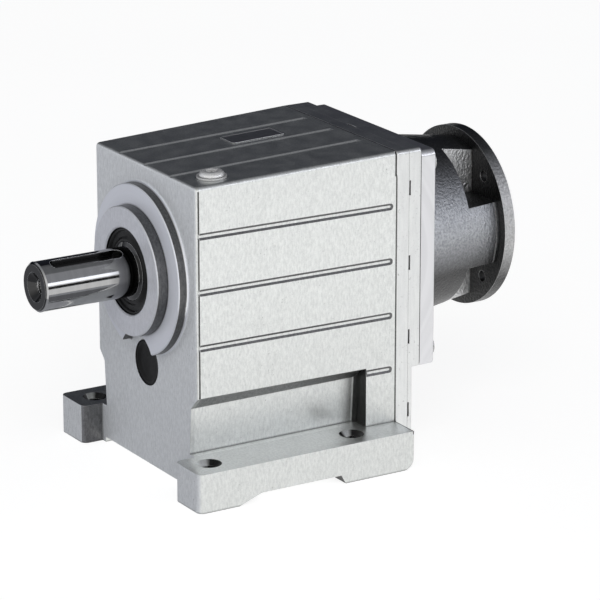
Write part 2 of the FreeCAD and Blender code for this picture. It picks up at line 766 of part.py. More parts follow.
def make_input_cover():
    """The plate behind the bearing plate: it holds the input seal, and a thin lip runs down to the feet."""
    body = new_body("input_cover")
    outline = at_y(body, cover_y)
    rectangle(outline, -case_rear_width / 2, case_rear_width / 2, flange_low + flange_setback, top_rear)
    pad(body, outline, cover_length)
    lip = at_y(body, plate_y + cover_lip)
    rectangle(lip, -case_rear_width / 2, case_rear_width / 2, belly_height, top_rear)
    pad(body, lip, cover_lip)

    def corners(edge):
        return along(edge, 1) and edge.Vertexes[0].Z > belly_height.value + 1

    finish_edges(body, "Fillet", corners, plate_corner)
    finish_edges(body, "Chamfer", lambda edge: lies_at(edge, plate_y), seam_bevel / 2)
    holes = at_y(body, cover_y)
    circle(holes, 0, axis_height, input_seal_od / 2)
    corner_circles(holes, screw_x, screw_low, screw_high, screw_d / 2 + screw_clearance)
    pocket(body, holes, cover_length, reverse=True)
    sinks = at_y(body, plate_y)
    for side in (-1, 1):
        circle(sinks, plate_screw_x * side, plate_screw_z, plate_screw_head_d / 2 + plate_screw_room)
    pocket(body, sinks, cover_lip)

    slots = at_y(body, plate_y)
    edge = case_rear_width / 2
    for side in (-1, 1):
        for k in (1, 0, -1, -2):
            middle = pattern_height + slot_pitch * k
            rectangle(slots, (edge - slot_depth) * side, (edge + slot_depth) * side,
                      middle - slot_length / 2, middle + slot_length / 2)
    rectangle(slots, -slot_length / 2, slot_length / 2, top_rear - slot_depth, top_rear + slot_depth)
    pocket(body, slots, slot_width)
    return body


def make_adapter_gasket():
    """The thin sheet between the cover and the motor adapter."""
    body = new_body("adapter_gasket")
    outline = at_y(body, adapter_y)
    rectangle(outline, -flange_width / 2 + gasket_inset, flange_width / 2 - gasket_inset,
              flange_low + flange_setback + gasket_inset, flange_high - gasket_inset)
    pad(body, outline, gasket_length)
    holes = at_y(body, adapter_y)
    circle(holes, 0, axis_height, input_bearing_od / 2)
    corner_circles(holes, screw_x, screw_low, screw_high, screw_d / 2 + screw_clearance)
    pocket(body, holes, gasket_length, reverse=True)
    return body


def make_motor_adapter():
    """The cast adapter: square flange, tapered lantern, round motor flange and four bolt pockets."""
    body = turned("motor_adapter", axis_height, [
        (flange_y, 0), (flange_y, lantern_front_d / 2), (rim_y, lantern_rear_d / 2), (rim_y, 0)])
    pockets = at_y(body, rim_y)
    reach = lantern_front_d / 2
    for sx in (-1, 1):
        for sz in (-1, 1):
            polygon(pockets, [(pocket_wall * sx, pocket_wall * sz), (reach * sx, pocket_wall * sz),
                              (reach * sx, reach * sz), (pocket_wall * sx, reach * sz)])
    pocket(body, pockets, pocket_length, reverse=True)
    outline = at_y(body, flange_y)
    low = flange_low - axis_height
    high = flange_high - axis_height
    rectangle(outline, -flange_width / 2, flange_width / 2, low, high)
    pad(body, outline, flange_length)

    def corners(edge):
        return along(edge, 1) and near(abs(edge.Vertexes[0].X), flange_width / 2)

    finish_edges(body, "Fillet", corners, flange_corner)
    disc = at_y(body, motor_face_y)
    circle(disc, 0, 0, rim_d / 2)
    pad(body, disc, rim_length)
    seat = at_y(body, adapter_y)
    circle(seat, 0, 0, input_bearing_od / 2)
    pocket(body, seat, input_rear_bearing_y + input_bearing_width - adapter_y)
    bore = at_y(body, motor_face_y)
    circle(bore, 0, 0, lantern_bore_d / 2)
    pocket(body, bore, motor_face_y - adapter_y, reverse=True)
    spigot = at_y(body, motor_face_y)
    circle(spigot, 0, 0, spigot_d / 2)
    pocket(body, spigot, spigot_depth, reverse=True)
    holes = at_y(body, flange_y)
    corner_circles(holes, screw_x, screw_low - axis_height, screw_high - axis_height,
                   screw_d / 2 + screw_clearance)
    pocket(body, holes, flange_length, reverse=True)
    bolts = at_y(body, motor_face_y)
    place = motor_pcd * math.sqrt(0.5) / 2
    corner_circles(bolts, place, -place, place, motor_hole_d / 2)
    pocket(body, bolts, rim_length, reverse=True)
    return body


def make_output_shaft():
    """The output shaft with its open keyway, centre hole, bearing journal, collar and gear seat."""
    step_y = boss_y + shaft_step
    tail_y = gear_end_y + shaft_tail
    clip_y = gear_end_y
    small = shaft_d / 2
    journal = output_bearing_bore / 2
    seat = gear_seat_d / 2
    body = turned("output_shaft", axis_height, [
        (shaft_end_y, 0), (shaft_end_y, small - shaft_chamfer), (shaft_end_y + shaft_chamfer, small),
        (step_y, small), (step_y + shaft_step, journal), (hub_rear_y, journal), (hub_rear_y, collar_d / 2),
        (gear_y, collar_d / 2), (gear_y, seat), (clip_y, seat), (clip_y, seat - clip_depth),
        (clip_y + clip_width, seat - clip_depth), (clip_y + clip_width, seat), (tail_y, seat), (tail_y, 0)])
    way = new_sketch(body, "XY_Plane", small)
    half = shaft_key_width / 2
    near_end = shaft_end_y + shaft_key_inset + half
    far_end = near_end + shaft_key_length - shaft_key_width
    key_outline(way, near_end, far_end, half)
    pocket(body, way, shaft_key_depth)
    hole = at_y(body, shaft_end_y)
    circle(hole, 0, 0, centre_thread_d / 2)
    pocket(body, hole, centre_thread_depth)
    mouth = centre_thread_d / 2
    finish_edges(body, "Chamfer", lambda edge: rim(edge, 1, shaft_end_y, mouth), centre_chamfer)
    body.Placement.Rotation = FreeCAD.Rotation(FreeCAD.Vector(0, 1, 0), key_turn.value)
    body.setExpression("Placement.Rotation.Angle", key_turn.text)
    return body


def key_outline(sketch, near_end, far_end, half):
    """A keyway seen from above, along the sketch's Y, with half-round ends."""
    ends = ((near_end, math.pi, 2 * math.pi), (far_end, 0, math.pi))
    arcs = []
    for middle, start, stop in ends:
        bend = Part.Circle(vector(0, middle), FreeCAD.Vector(0, 0, 1), half.value)
        arc = sketch.addGeometry(Part.ArcOfCircle(bend, start, stop), False)
        number = sketch.addConstraint(Sketcher.Constraint("DistanceY", -1, 1, arc, 3, middle.value))
        sketch.setExpression(f"Constraints[{number}]", middle.text)
        arcs.append(arc)
    low, high = arcs
    right = sketch.addGeometry(Part.LineSegment(vector(half, near_end), vector(half, far_end)), False)
    left = sketch.addGeometry(Part.LineSegment(vector(-half, far_end), vector(-half, near_end)), False)
    pin_point(sketch, right, 1, half, near_end)
    pin_point(sketch, right, 2, half, far_end)
    pin_point(sketch, left, 1, -half, far_end)
    pin_point(sketch, left, 2, -half, near_end)
    for a, b, c, d in ((low, 2, right, 1), (right, 2, high, 1), (high, 2, left, 1), (left, 2, low, 1)):
        sketch.addConstraint(Sketcher.Constraint("Coincident", a, b, c, d))


def tooth_section(stage, teeth, shift):
    """One transverse outline of a helical gear, as points round its axis."""
    module, slope = stage
    pitch = module * teeth / slope / 2
    pressure = math.atan(math.tan(math.radians(PRESSURE_ANGLE)) / slope)
    base = pitch * math.cos(pressure)
    tip = pitch + module * (1 + shift)
    root = pitch - module * (1 + ROOT_CLEARANCE - shift)
    involute = math.tan(pressure) - pressure
    half_tooth = math.pi / (2 * teeth) + 2 * shift * math.tan(pressure) * slope / teeth
    half_tooth -= backlash.value / pitch / 4
    steps = SMALL_GEAR_STEPS if teeth < SMALL_GEAR_TEETH else LARGE_GEAR_STEPS
    start = max(base, root + ROOT_RISE * module)
    flank = []
    for k in range(steps):
        radius = start + (tip - start) * k / (steps - 1)
        angle = math.acos(min(1, base / radius))
        flank.append((radius, half_tooth + involute - (math.tan(angle) - angle)))
    foot = (root, flank[0][1] + ROOT_SPREAD * module / root)
    side = [foot] + flank
    points = []
    for tooth in range(teeth):
        middle = 2 * math.pi * tooth / teeth
        points += [(radius, middle - half) for radius, half in side]
        points += [(radius, middle + half) for radius, half in reversed(side)]
    return points


def helical_gear(stage, teeth, shift, hand, start, face, phase, sections):
    """A solid helical gear about the Y axis, from ruled strips between turned outlines."""
    outline = tooth_section(stage, teeth, shift)
    twist = hand * face * turn_per_length(stage, teeth)
    rings = []
    for k in range(sections + 1):
        turn = phase + twist * k / sections
        y = start + face * k / sections
        rings.append([FreeCAD.Vector(r * math.sin(a + turn), y, r * math.cos(a + turn)) for r, a in outline])
    faces = []
    count = len(outline)
    for low, high in zip(rings, rings[1:]):
        for k in range(count):
            n = (k + 1) % count
            edges = [Part.makeLine(row[k], row[n]) for row in (low, high)]
            faces.append(Part.makeRuledSurface(*edges))
    for end in (rings[0], rings[-1]):
        faces.append(Part.Face(Part.makePolygon(end + end[:1])))
    shell = Part.makeShell(faces)
    shell.sewShape()
    solid = Part.makeSolid(Part.Shell(shell.Faces) if shell.ShapeType != "Shell" else shell)
    if solid.Volume < 0:
        solid.reverse()
    return solid


def turn_per_length(stage, teeth):
    """How far the helix of a gear turns over one millimetre of its face."""
    module, slope = stage
    return math.tan(math.acos(slope)) / (module * teeth / slope / 2)


def gear_feature(label, shape, height):
    node = doc.addObject("Part::Feature", label)
    node.Label = label
    node.Shape = shape
    node.Placement = FreeCAD.Placement(FreeCAD.Vector(0, 0, height.value), FreeCAD.Rotation())
    return node


def bored(solid, diameter, start, end):
    """A gear with its round bore, a fit wider than the seat."""
    length = end.value - start.value
    tool = Part.makeCylinder(diameter.value / 2 + fit.value, length, FreeCAD.Vector(0, start.value, 0),
                             FreeCAD.Vector(0, 1, 0))
    return solid.cut(tool)


# Normal module and helix cosine of each stage, and how finely the flanks are cut
FIRST_STAGE = (first_module.value, cosine(first_helix).value)
SECOND_STAGE = (second_module.value, cosine(second_helix).value)
SMALL_GEAR_TEETH = 20
SMALL_GEAR_STEPS = 4
LARGE_GEAR_STEPS = 3
ROOT_RISE = 0.1
ROOT_SPREAD = 0.15
PINION_SECTIONS = 4
WHEEL_SECTIONS = 2


def upper_phase(teeth):
    """Turn of a gear on the upper axis that puts a gap straight below it."""
    return math.pi - math.pi / teeth


def fused(label, members):
    node = doc.addObject("Part::MultiFuse", label)
    node.Label = label
    node.Shapes = members
    return node


def make_output_gear():
    solid = helical_gear(SECOND_STAGE, OUTPUT_TEETH, -second_shift.value, UPPER_HAND, gear_y.value,
                         second_face.value, upper_phase(OUTPUT_TEETH), WHEEL_SECTIONS)
    return gear_feature("output_gear", bored(solid, gear_seat_d, gear_y, gear_end_y), axis_height)


def make_mid_gear():
    solid = helical_gear(FIRST_STAGE, MID_TEETH, -first_shift.value, LOWER_HAND, first_gear_y.value,
                         first_face.value, 0, WHEEL_SECTIONS)
    return gear_feature("mid_gear", bored(solid, mid_seat_d, first_gear_y, first_gear_end_y), mid_height)


def make_mid_shaft():
    """The middle shaft with its pinion, from the front journal to the rear one."""
    start = gear_y - pinion_margin
    end = gear_end_y + pinion_margin
    journal = mid_bearing_bore / 2
    neck = mid_neck_d / 2
    blank = turned("mid_shaft_blank", mid_height, [
        (mid_front_y, 0), (mid_front_y, journal), (mid_front_y + mid_bearing_width, journal),
        (mid_front_y + mid_bearing_width, neck), (end, neck), (end, mid_seat_d / 2 + pinion_margin),
        (first_gear_y, mid_seat_d / 2 + pinion_margin), (first_gear_y, mid_seat_d / 2),
        (first_gear_end_y, mid_seat_d / 2), (first_gear_end_y, neck), (mid_rear_y, neck),
        (mid_rear_y, journal), (rear_y, journal), (rear_y, 0)])
    face = second_face + pinion_margin * 2
    lead = -LOWER_HAND * pinion_margin.value * turn_per_length(SECOND_STAGE, PINION_TEETH)
    solid = helical_gear(SECOND_STAGE, PINION_TEETH, second_shift.value, LOWER_HAND,
                         start.value, face.value, lead, PINION_SECTIONS)
    teeth = gear_feature("mid_pinion_teeth", solid, mid_height)
    return fused("mid_pinion_shaft", [blank, teeth])


def make_input_shaft():
    """The input shaft: pinion in the case, two journals and a keyed bore for the motor's shaft."""
    start = first_gear_y - pinion_margin
    end = first_gear_end_y + pinion_margin
    journal = input_bearing_bore / 2
    neck = input_neck_d / 2
    hub_y = input_rear_bearing_y + input_bearing_width
    hub_end = motor_face_y - input_hub_inset
    blank = turned("input_shaft_blank", axis_height, [
        (start + pinion_margin, 0), (start + pinion_margin, journal), (end, journal), (end, neck),
        (input_front_bearing_y, neck), (input_front_bearing_y, journal), (hub_y, journal),
        (hub_y, input_hub_d / 2), (hub_end, input_hub_d / 2), (hub_end, 0)])
    bore = at_y(blank, hub_end)
    circle(bore, 0, 0, motor_bore_d / 2)
    pocket(blank, bore, motor_bore_depth, reverse=True)
    way = at_y(blank, hub_end)
    rectangle(way, -motor_key_width / 2, motor_key_width / 2, 0, motor_bore_d / 2 + motor_key_rise)
    pocket(blank, way, motor_bore_depth, reverse=True)
    face = first_face + pinion_margin * 2
    lead = -UPPER_HAND * pinion_margin.value * turn_per_length(FIRST_STAGE, INPUT_TEETH)
    solid = helical_gear(FIRST_STAGE, INPUT_TEETH, first_shift.value, UPPER_HAND, start.value, face.value,
                         upper_phase(INPUT_TEETH) + lead, PINION_SECTIONS)
    return fused("input_shaft", [blank, gear_feature("input_pinion_teeth", solid, axis_height)])


def make_bearings(name, height, bore, outside, width, places):
    """A pair of rolling bearings as outer and inner rings that meet in the middle of the balls."""
    middle = (bore + outside) / 2
    outer = []
    inner = []
    for k, y in enumerate(places):
        outer.append(ring(f"{name}_outer_ring_{k + 1}", height, y, width,
                          middle + race_clearance, outside - fit * 2))
        inner.append(ring(f"{name}_inner_ring_{k + 1}", height, y, width,
                          bore + fit * 2, middle - race_clearance))
    return [group(f"{name}_bearing_outer", outer), group(f"{name}_bearing_inner", inner)]


def make_seal(label, height, start, width, shaft, outside):
    """A lip seal: a stiff outer ring with a hollow front and a lip on the shaft."""
    inner = shaft / 2 + seal_land
    outer = outside / 2 - fit
    end = start + width
    third = (outer - inner) / 3
    return turned(label, height, [
        (start, outer), (start, outer - third), (start + width / 3, outer - third),
        (start + width / 3, inner + third), (start, inner + third), (start, inner),
        (end, inner), (end, outer)])


def make_cap():
    """The cap in the bore below the output shaft: a cup with its open side to the inside."""
    start = front_y + cap_recess
    end = start + cap_length
    outer = cap_d / 2 - fit
    inner = outer - cap_wall
    floor = start + cap_wall
    return turned("bore_cap", mid_height, [
        (start, 0), (start, outer), (end, outer), (end, inner), (floor, inner), (floor, 0)])


def make_filler():
    """The screw plug on the top, near the front, and its washer."""
    plug = new_body("filler_screw")
    y = front_y + plug_y
    head = top_sketch(plug, washer_height)
    circle(head, plug_x, y, plug_head_d / 2)
    pad(plug, head, plug_head_height)
    stem = top_sketch(plug, washer_height)
    circle(stem, plug_x, y, plug_thread_d / 2)
    pad(plug, stem, washer_height + plug_thread_length, reverse=True)
    socket = top_sketch(plug, washer_height + plug_head_height)
    corners = []
    reach = plug_socket_d / 2
    for k in range(6):
        angle = math.radians(60 * k)
        corners.append((plug_x + reach * math.cos(angle), y + reach * math.sin(angle)))
    polygon(socket, corners)
    pocket(plug, socket, plug_socket_depth)
    washer = new_body("filler_washer")
    disc = top_sketch(washer)
    circle(disc, plug_x, y, washer_d / 2)
    circle(disc, plug_x, y, plug_thread_d / 2 + fit)
    pad(washer, disc, washer_height)
    return [plug, washer]


def make_rating_plate():
    """The bare rating plate on the top, between two grooves."""
    body = new_body("rating_plate")
    face = top_sketch(body)
    y = front_y + rating_y
    rectangle(face, rating_x - rating_width / 2, rating_x + rating_width / 2,
              y - rating_length / 2, y + rating_length / 2)
    pad(body, face, rating_height)
    return body


def cap_screw(label, x, height, seat, length, thread, head, head_height):
    """A cylinder-head screw whose head sits on the plane y = seat and points to the rear."""
    tip = seat - length
    top = seat + head_height
    bevel = screw_head_bevel
    body = turned(label, height, [
        (tip, 0), (tip, thread / 2), (seat, thread / 2), (seat, head / 2),
        (top - bevel, head / 2), (top, head / 2 - bevel), (top, 0)])
    body.Placement.Base.x = x.value
    body.setExpression("Placement.Base.x", x.text)
    return body


def make_screws():
    adapter = []
    length = flange_y - rear_y + screw_grip
    for side in (-1, 1):
        for height in (screw_low, screw_high):
            adapter.append(cap_screw("adapter_screw", screw_x * side, height, flange_y, length,
                                     screw_d, screw_head_d, screw_head_height))
    plate = []
    for side in (-1, 1):
        plate.append(cap_screw("plate_screw", plate_screw_x * side, plate_screw_z, plate_y - plate_screw_sink,
                               plate_length + plate_screw_grip - plate_screw_sink, plate_screw_d,
                               plate_screw_head_d, plate_screw_head_height))
    pins = []
    for side in (-1, 1):
        pin = turned("dowel", axis_height + dowel_z * side, [
            (rear_y - dowel_length / 2, 0), (rear_y - dowel_length / 2, dowel_d / 2),
            (rear_y + dowel_length / 2, dowel_d / 2), (rear_y + dowel_length / 2, 0)])
        x = plate_screw_x * side
        pin.Placement.Base.x = x.value
        pin.setExpression("Placement.Base.x", x.text)
        pins.append(pin)
    return [group("adapter_screws", adapter), group("plate_screws", plate), group("dowel_pins", pins)]


def make_nodes():
    nodes = [make_gear_case(), make_bearing_plate(), make_input_cover(), make_adapter_gasket(),
             make_motor_adapter(), make_cap(), make_rating_plate()]
    nodes += make_filler()
    nodes += make_screws()
    nodes.append(make_seal("output_seal", axis_height, seal_y, seal_width, output_bearing_bore, seal_od))
    nodes.append(make_seal("input_seal", axis_height, plate_y + (cover_length - seal_width) / 2, seal_width,
                           input_bearing_bore, input_seal_od))
    nodes += make_bearings("output", axis_height, output_bearing_bore, output_bearing_od,
                           output_bearing_width, [front_bearing_y, rear_bearing_y])
    nodes += make_bearings("mid", mid_height, mid_bearing_bore, mid_bearing_od, mid_bearing_width,
                           [mid_front_y, mid_rear_y])
    nodes += make_bearings("input", axis_height, input_bearing_bore, input_bearing_od, input_bearing_width,
                           [input_front_bearing_y, input_rear_bearing_y])
    nodes.append(make_output_shaft())
    nodes.append(make_output_gear())
    nodes.append(ring("bearing_sleeve", axis_height, front_bearing_y + output_bearing_width,
                      output_bearing_gap, output_bearing_bore + fit * 2, collar_d))
    nodes.append(ring("gear_clip", axis_height, gear_end_y, clip_width,
                      gear_seat_d - clip_depth * 2 + fit * 2, clip_d))
    nodes += [make_mid_shaft(), make_mid_gear(), make_input_shaft()]
    return nodes


def write_nodes(nodes):
    """Check every object, then write one file for each node."""
    doc.recompute()
    failed = [f"{o.Label}: {o.State}" for o in doc.Objects if {"Invalid", "Error"} & set(o.State)]
    failed += [n.Label for n in nodes if n.Shape.isNull() or not n.Shape.isValid()]
    if failed:
        raise RuntimeError("unsound: " + ", ".join(failed))
    os.makedirs("parts", exist_ok=True)
    for node in nodes:
        node.Shape.exportStep(os.path.join("parts", f"{node.Label}.step"))
        print(f"{node.Label}: {len(node.Shape.Solids)} solid(s), {node.Shape.Volume:.0f} mm3")


write_nodes(make_nodes())
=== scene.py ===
# %% [markdown]
# # An in-line gear reducer, dressed for a studio picture
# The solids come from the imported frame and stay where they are. This lesson gives every solid a
# finish, replaces the small turned and stamped pieces with finer surfaces, and sets up a pale floor,
# soft light and a camera. Lengths are metres and the frame is the one that the solids use.

# %% Load the frame
import bpy
import bmesh
import math
import numpy as np
from mathutils import Matrix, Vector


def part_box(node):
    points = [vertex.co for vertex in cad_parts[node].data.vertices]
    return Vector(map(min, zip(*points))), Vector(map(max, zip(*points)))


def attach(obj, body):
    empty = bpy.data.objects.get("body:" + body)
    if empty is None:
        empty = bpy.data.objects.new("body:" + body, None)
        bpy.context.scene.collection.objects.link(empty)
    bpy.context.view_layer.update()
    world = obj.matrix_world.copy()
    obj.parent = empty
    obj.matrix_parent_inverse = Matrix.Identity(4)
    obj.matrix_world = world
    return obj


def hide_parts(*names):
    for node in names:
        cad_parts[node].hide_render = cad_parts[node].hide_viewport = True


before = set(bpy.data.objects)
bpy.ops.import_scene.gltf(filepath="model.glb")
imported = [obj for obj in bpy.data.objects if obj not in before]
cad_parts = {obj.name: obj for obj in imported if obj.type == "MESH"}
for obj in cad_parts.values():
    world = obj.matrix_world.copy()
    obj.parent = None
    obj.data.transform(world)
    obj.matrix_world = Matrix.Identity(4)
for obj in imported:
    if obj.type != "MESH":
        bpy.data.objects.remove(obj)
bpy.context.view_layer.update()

MM = 0.001

# %% [markdown]
# ## Node helpers
# A material is a small graph. One helper places a node and sets or links its inputs, so that each
# finish below reads as a list of what goes into what. Another starts a node group with named sockets:
# an effect that several finishes share, such as cast skin, is drawn once and used with other values.

# %% Helpers for node graphs
def place(tree, kind, inputs=None, **settings):
    """Add one shader node; an input is linked when it is given a socket, and set otherwise."""
    made = tree.nodes.new("ShaderNode" + kind)
    for key, value in settings.items():
        setattr(made, key, value)
    for key, value in (inputs or {}).items():
        if isinstance(value, bpy.types.NodeSocket):
            tree.links.new(value, made.inputs[key])
        else:
            made.inputs[key].default_value = value
    return made


def maths(tree, operation, *values):
    """One Math node; its operands are numbers or sockets."""
    inputs = dict(enumerate(values))
    return place(tree, "Math", inputs, operation=operation).outputs[0]


def blend(tree, mask, low, high):
    """Mix two numbers by a mask from 0 to 1."""
    return place(tree, "Mix", {0: mask, 2: low, 3: high}).outputs[0]


def blend_colours(tree, mask, low, high):
    """Mix two colours by a mask from 0 to 1."""
    made = place(tree, "Mix", {0: mask, 6: low, 7: high}, data_type="RGBA")
    return made.outputs[2]


def remap(tree, value, low, high, to_low, to_high):
    """Map a value from one range to another, held at the ends."""
    inputs = {0: value, 1: low, 2: high, 3: to_low, 4: to_high}
    return place(tree, "MapRange", inputs).outputs[0]


def soft_step(tree, value, start, full):
    """A mask that grows from 0 where a value is at start to 1 where it is at full."""
    return remap(tree, value, start, full, 0, 1)


def new_group(name, inputs, outputs):
    """Start a node group with number inputs and the given outputs; return its tree and end nodes."""
    tree = bpy.data.node_groups.new(name, "ShaderNodeTree")
    for label, start in inputs:
        socket = tree.interface.new_socket(label, in_out="INPUT", socket_type="NodeSocketFloat")
        socket.default_value = start
    for label in outputs:
        tree.interface.new_socket(label, in_out="OUTPUT", socket_type="NodeSocketFloat")
    return tree, tree.nodes.new("NodeGroupInput"), tree.nodes.new("NodeGroupOutput")


def use_group(tree, group, inputs):
    """Place a node group and set its named inputs."""
    made = tree.nodes.new("ShaderNodeGroup")
    made.node_tree = group
    for key, value in inputs.items():
        made.inputs[key].default_value = value
    return made


print("node helpers ready")

# %% [markdown]
# ## Cast skin
# A die-cast surface is never flat: it has low lumps a few millimetres wide, a fine grain from the
# mould's face, faint streaks along the way it left the mould, and a few dark specks. Noise fields on
# Object coordinates give all of them, so that one group serves the case, the plates and the adapter.

# %% Group: cast skin
AXIS_HEIGHT = 125 * MM
GRAIN_IN_RELIEF, GRAIN_IN_COLOUR = 0.35, 0.4
PATCH_WIDTH = 7


def millimetres(tree):
    """Object coordinates in millimetres, whole and split into X, Y and Z."""
    spot = place(tree, "TexCoord").outputs["Object"]
    scaled = place(tree, "VectorMath", {0: spot, "Scale": 1 / MM}, operation="SCALE").outputs[0]
    split = place(tree, "SeparateXYZ", {0: scaled})
    return scaled, split.outputs[0], split.outputs[1], split.outputs[2]


def cast_skin_group():
    """Relief, mottled colour, wide patches and specks; a patch is several lumps wide."""
    tree, start, end = new_group("cast_skin", [("Lump mm", 3), ("Grain mm", 0.7), ("Draw", 0.15)],
                                 ["Height", "Mottle", "Patches", "Specks"])
    spot, x, y, z = millimetres(tree)
    drawn_z = maths(tree, "MULTIPLY", z, start.outputs["Draw"])
    drawn = place(tree, "CombineXYZ", {0: x, 1: y, 2: drawn_z}).outputs[0]
    coarse = maths(tree, "DIVIDE", 1, start.outputs["Lump mm"])
    fine = maths(tree, "DIVIDE", 1, start.outputs["Grain mm"])
    wide = maths(tree, "DIVIDE", coarse, PATCH_WIDTH)
    fields = []
    for where, scale, detail in ((spot, coarse, 2), (spot, fine, 3), (drawn, coarse, 3), (spot, wide, 4)):
        noise = place(tree, "TexNoise", {"Vector": where, "Scale": scale, "Detail": detail})
        fields.append(noise.outputs["Fac"])
    lumps, grain, streaks, patches = fields
    height = blend(tree, GRAIN_IN_RELIEF, lumps, grain)
    mottle = blend(tree, GRAIN_IN_COLOUR, streaks, grain)
    raised, spotted = soft_step(tree, height, 0.62, 0.68), soft_step(tree, patches, 0.45, 0.6)
    tree.links.new(height, end.inputs["Height"])
    tree.links.new(soft_step(tree, mottle, 0.36, 0.64), end.inputs["Mottle"])
    tree.links.new(soft_step(tree, patches, 0.35, 0.65), end.inputs["Patches"])
    tree.links.new(maths(tree, "MULTIPLY", raised, spotted), end.inputs["Specks"])
    return tree


CAST_SKIN = cast_skin_group()
print("group:", CAST_SKIN.name)

# %% [markdown]
# ## Turned lines
# A lathe leaves fine lines round the axis. On a journal they repeat along the axis, and on a face
# they repeat with the radius. The sum of the two is constant round a circle on both, so one noise of
# a single number draws the lines on shafts, rings, seals and flange faces alike.

# %% Group: turned lines
def axis_distance(tree, x, z, axis):
    """Distance in millimetres from a line along Y at the given height."""
    drop = maths(tree, "SUBTRACT", z, axis)
    flat = place(tree, "CombineXYZ", {0: x, 1: drop})
    return place(tree, "VectorMath", {0: flat.outputs[0]}, operation="LENGTH").outputs["Value"]


def turned_lines_group():
    """Fine lines for the relief and slow ones for the colour."""
    tree, start, end = new_group("turned_lines", [("Pitch mm", 0.25), ("Axis mm", AXIS_HEIGHT / MM)],
                                 ["Height", "Streaks"])
    _, x, y, z = millimetres(tree)
    radius = axis_distance(tree, x, z, start.outputs["Axis mm"])
    path = maths(tree, "DIVIDE", maths(tree, "ADD", y, radius), start.outputs["Pitch mm"])
    fine = place(tree, "TexNoise", {"W": path, "Scale": 1, "Detail": 2}, noise_dimensions="1D")
    slow = place(tree, "TexNoise", {"W": path, "Scale": 0.06, "Detail": 3}, noise_dimensions="1D")
    tree.links.new(fine.outputs["Fac"], end.inputs["Height"])
    tree.links.new(soft_step(tree, slow.outputs["Fac"], 0.35, 0.65), end.inputs["Streaks"])
    return tree


TURNED_LINES = turned_lines_group()
print("group:", TURNED_LINES.name)

# %% [markdown]
# ## Painted shade in corners and painted highlights on edges
# Seams, groove corners and pocket floors get painted shade where light does not reach them: an ambient
# occlusion node measures that over a few millimetres. Outer edges get painted highlights: where a
# rounded normal departs from the true one, there is an edge.

# %% Group: painted shade in corners and painted highlights on edges
def corner_group():
    """Painted shade in hidden corners, and painted highlights on edges where rounded normals differ."""
    tree, start, end = new_group("corners", [("Reach mm", 4), ("Edge mm", 0.5)], ["Dirt", "Edge"])
    reach = maths(tree, "MULTIPLY", start.outputs["Reach mm"], MM)
    hidden = place(tree, "AmbientOcclusion", {"Distance": reach}, samples=8)
    tree.links.new(soft_step(tree, hidden.outputs["AO"], 0.95, 0.35), end.inputs["Dirt"])
    width = maths(tree, "MULTIPLY", start.outputs["Edge mm"], MM)
    soft = place(tree, "Bevel", {"Radius": width}, samples=6)
    true = place(tree, "NewGeometry").outputs["Normal"]
    same = place(tree, "VectorMath", {0: soft.outputs[0], 1: true}, operation="DOT_PRODUCT")
    edge = soft_step(tree, same.outputs["Value"], 0.98, 0.75)
    convex = maths(tree, "GREATER_THAN", hidden.outputs["AO"], 0.7)
    tree.links.new(maths(tree, "MULTIPLY", edge, convex), end.inputs["Edge"])
    return tree


CORNERS = corner_group()
print("group:", CORNERS.name)

# %% [markdown]
# ## Tools for masks
# Parts of one casting look different: some faces are machined, some walls get painted shade, and some
# lips get painted highlights. A mask picks each of these places out. It reads Object coordinates for
# where a place lies, and the surface's own direction for which of the faces there it covers.

# %% Helpers of the masks
FRONT, CASE_REAR = -51.0, 83.4
FLANGE_REAR, RIM_FRONT = 110.7, 167.7
RING_REACH, LANTERN_REACH, RIM_REACH = 52.5, 46.0, 56.0
X, Y, Z = range(3)


def looking(tree, axis):
    """How far the surface looks along one axis, from -1 to 1."""
    normal = place(tree, "TexCoord").outputs["Normal"]
    return place(tree, "SeparateXYZ", {0: normal}).outputs[axis]


def facing(tree, axis):
    """How far the surface looks along one axis in either sense, from 0 to 1."""
    return maths(tree, "ABSOLUTE", looking(tree, axis))


def above(tree, value, limit):
    """1 where a value is above a limit."""
    return maths(tree, "GREATER_THAN", value, limit)


def below(tree, value, limit):
    """1 where a value is below a limit."""
    return maths(tree, "LESS_THAN", value, limit)


def both(tree, *masks):
    """Product of masks: 1 only where all of them are 1."""
    product = masks[0]
    for mask in masks[1:]:
        product = maths(tree, "MULTIPLY", product, mask)
    return product


def between(tree, value, low, high):
    """1 where a value lies between two limits."""
    return both(tree, above(tree, value, low), below(tree, value, high))


def shaft_distance(tree):
    """Distance in millimetres from the output shaft's axis."""
    _, x, _, z = millimetres(tree)
    return axis_distance(tree, x, z, AXIS_HEIGHT / MM)


print("mask helpers ready")

# %% [markdown]
# ## Places on the case
# The ring and the boss round the output shaft are turned. Their walls and the boss's front, the walls
# of the grooves, the bolt holes and the recesses over the feet get painted shade, and the rear seam is
# a dark joint. The faces that look forward are blasted, so they scatter the light.

# %% Masks on the case
BOSS_STEP, BOSS_SHADE_SHARE = 10, 0.4
FRONT_ROUNDING, BEHIND_EDGE = 2.6, 3
GROOVE_TOP = 180
CEILING_START, RECESS_TOP, RECESS_REAR, END_WALL_TOP = 45, 63.0, 62.5, 62
HOLE_ROW, HOLE_ROW_ENDS, HOLE_DEPTH = (63, 77), (FRONT - 9, 80), (-1, 19.7)
INNER_SIDE, OVER_FEET = 20, 25
SEAM_WIDTH, SEAM_LOW = 0.7, 22


def boss_zone(tree):
    """1 on the turned ring and boss in front of the case."""
    y = millimetres(tree)[2]
    return both(tree, below(tree, shaft_distance(tree), RING_REACH), below(tree, y, FRONT - 0.3))


def boss_front_shade(tree):
    """Painted shade, at a share, on the front of the boss, which stands further out than the ring."""
    y = millimetres(tree)[2]
    return both(tree, boss_zone(tree), below(tree, y, FRONT - BOSS_STEP), BOSS_SHADE_SHARE)


def boss_wall_shade(tree):
    """Painted shade, 1 on the walls of the ring and the boss, whose direction has little of Y in it."""
    return both(tree, boss_zone(tree), soft_step(tree, facing(tree, Y), 0.45, 0.3))


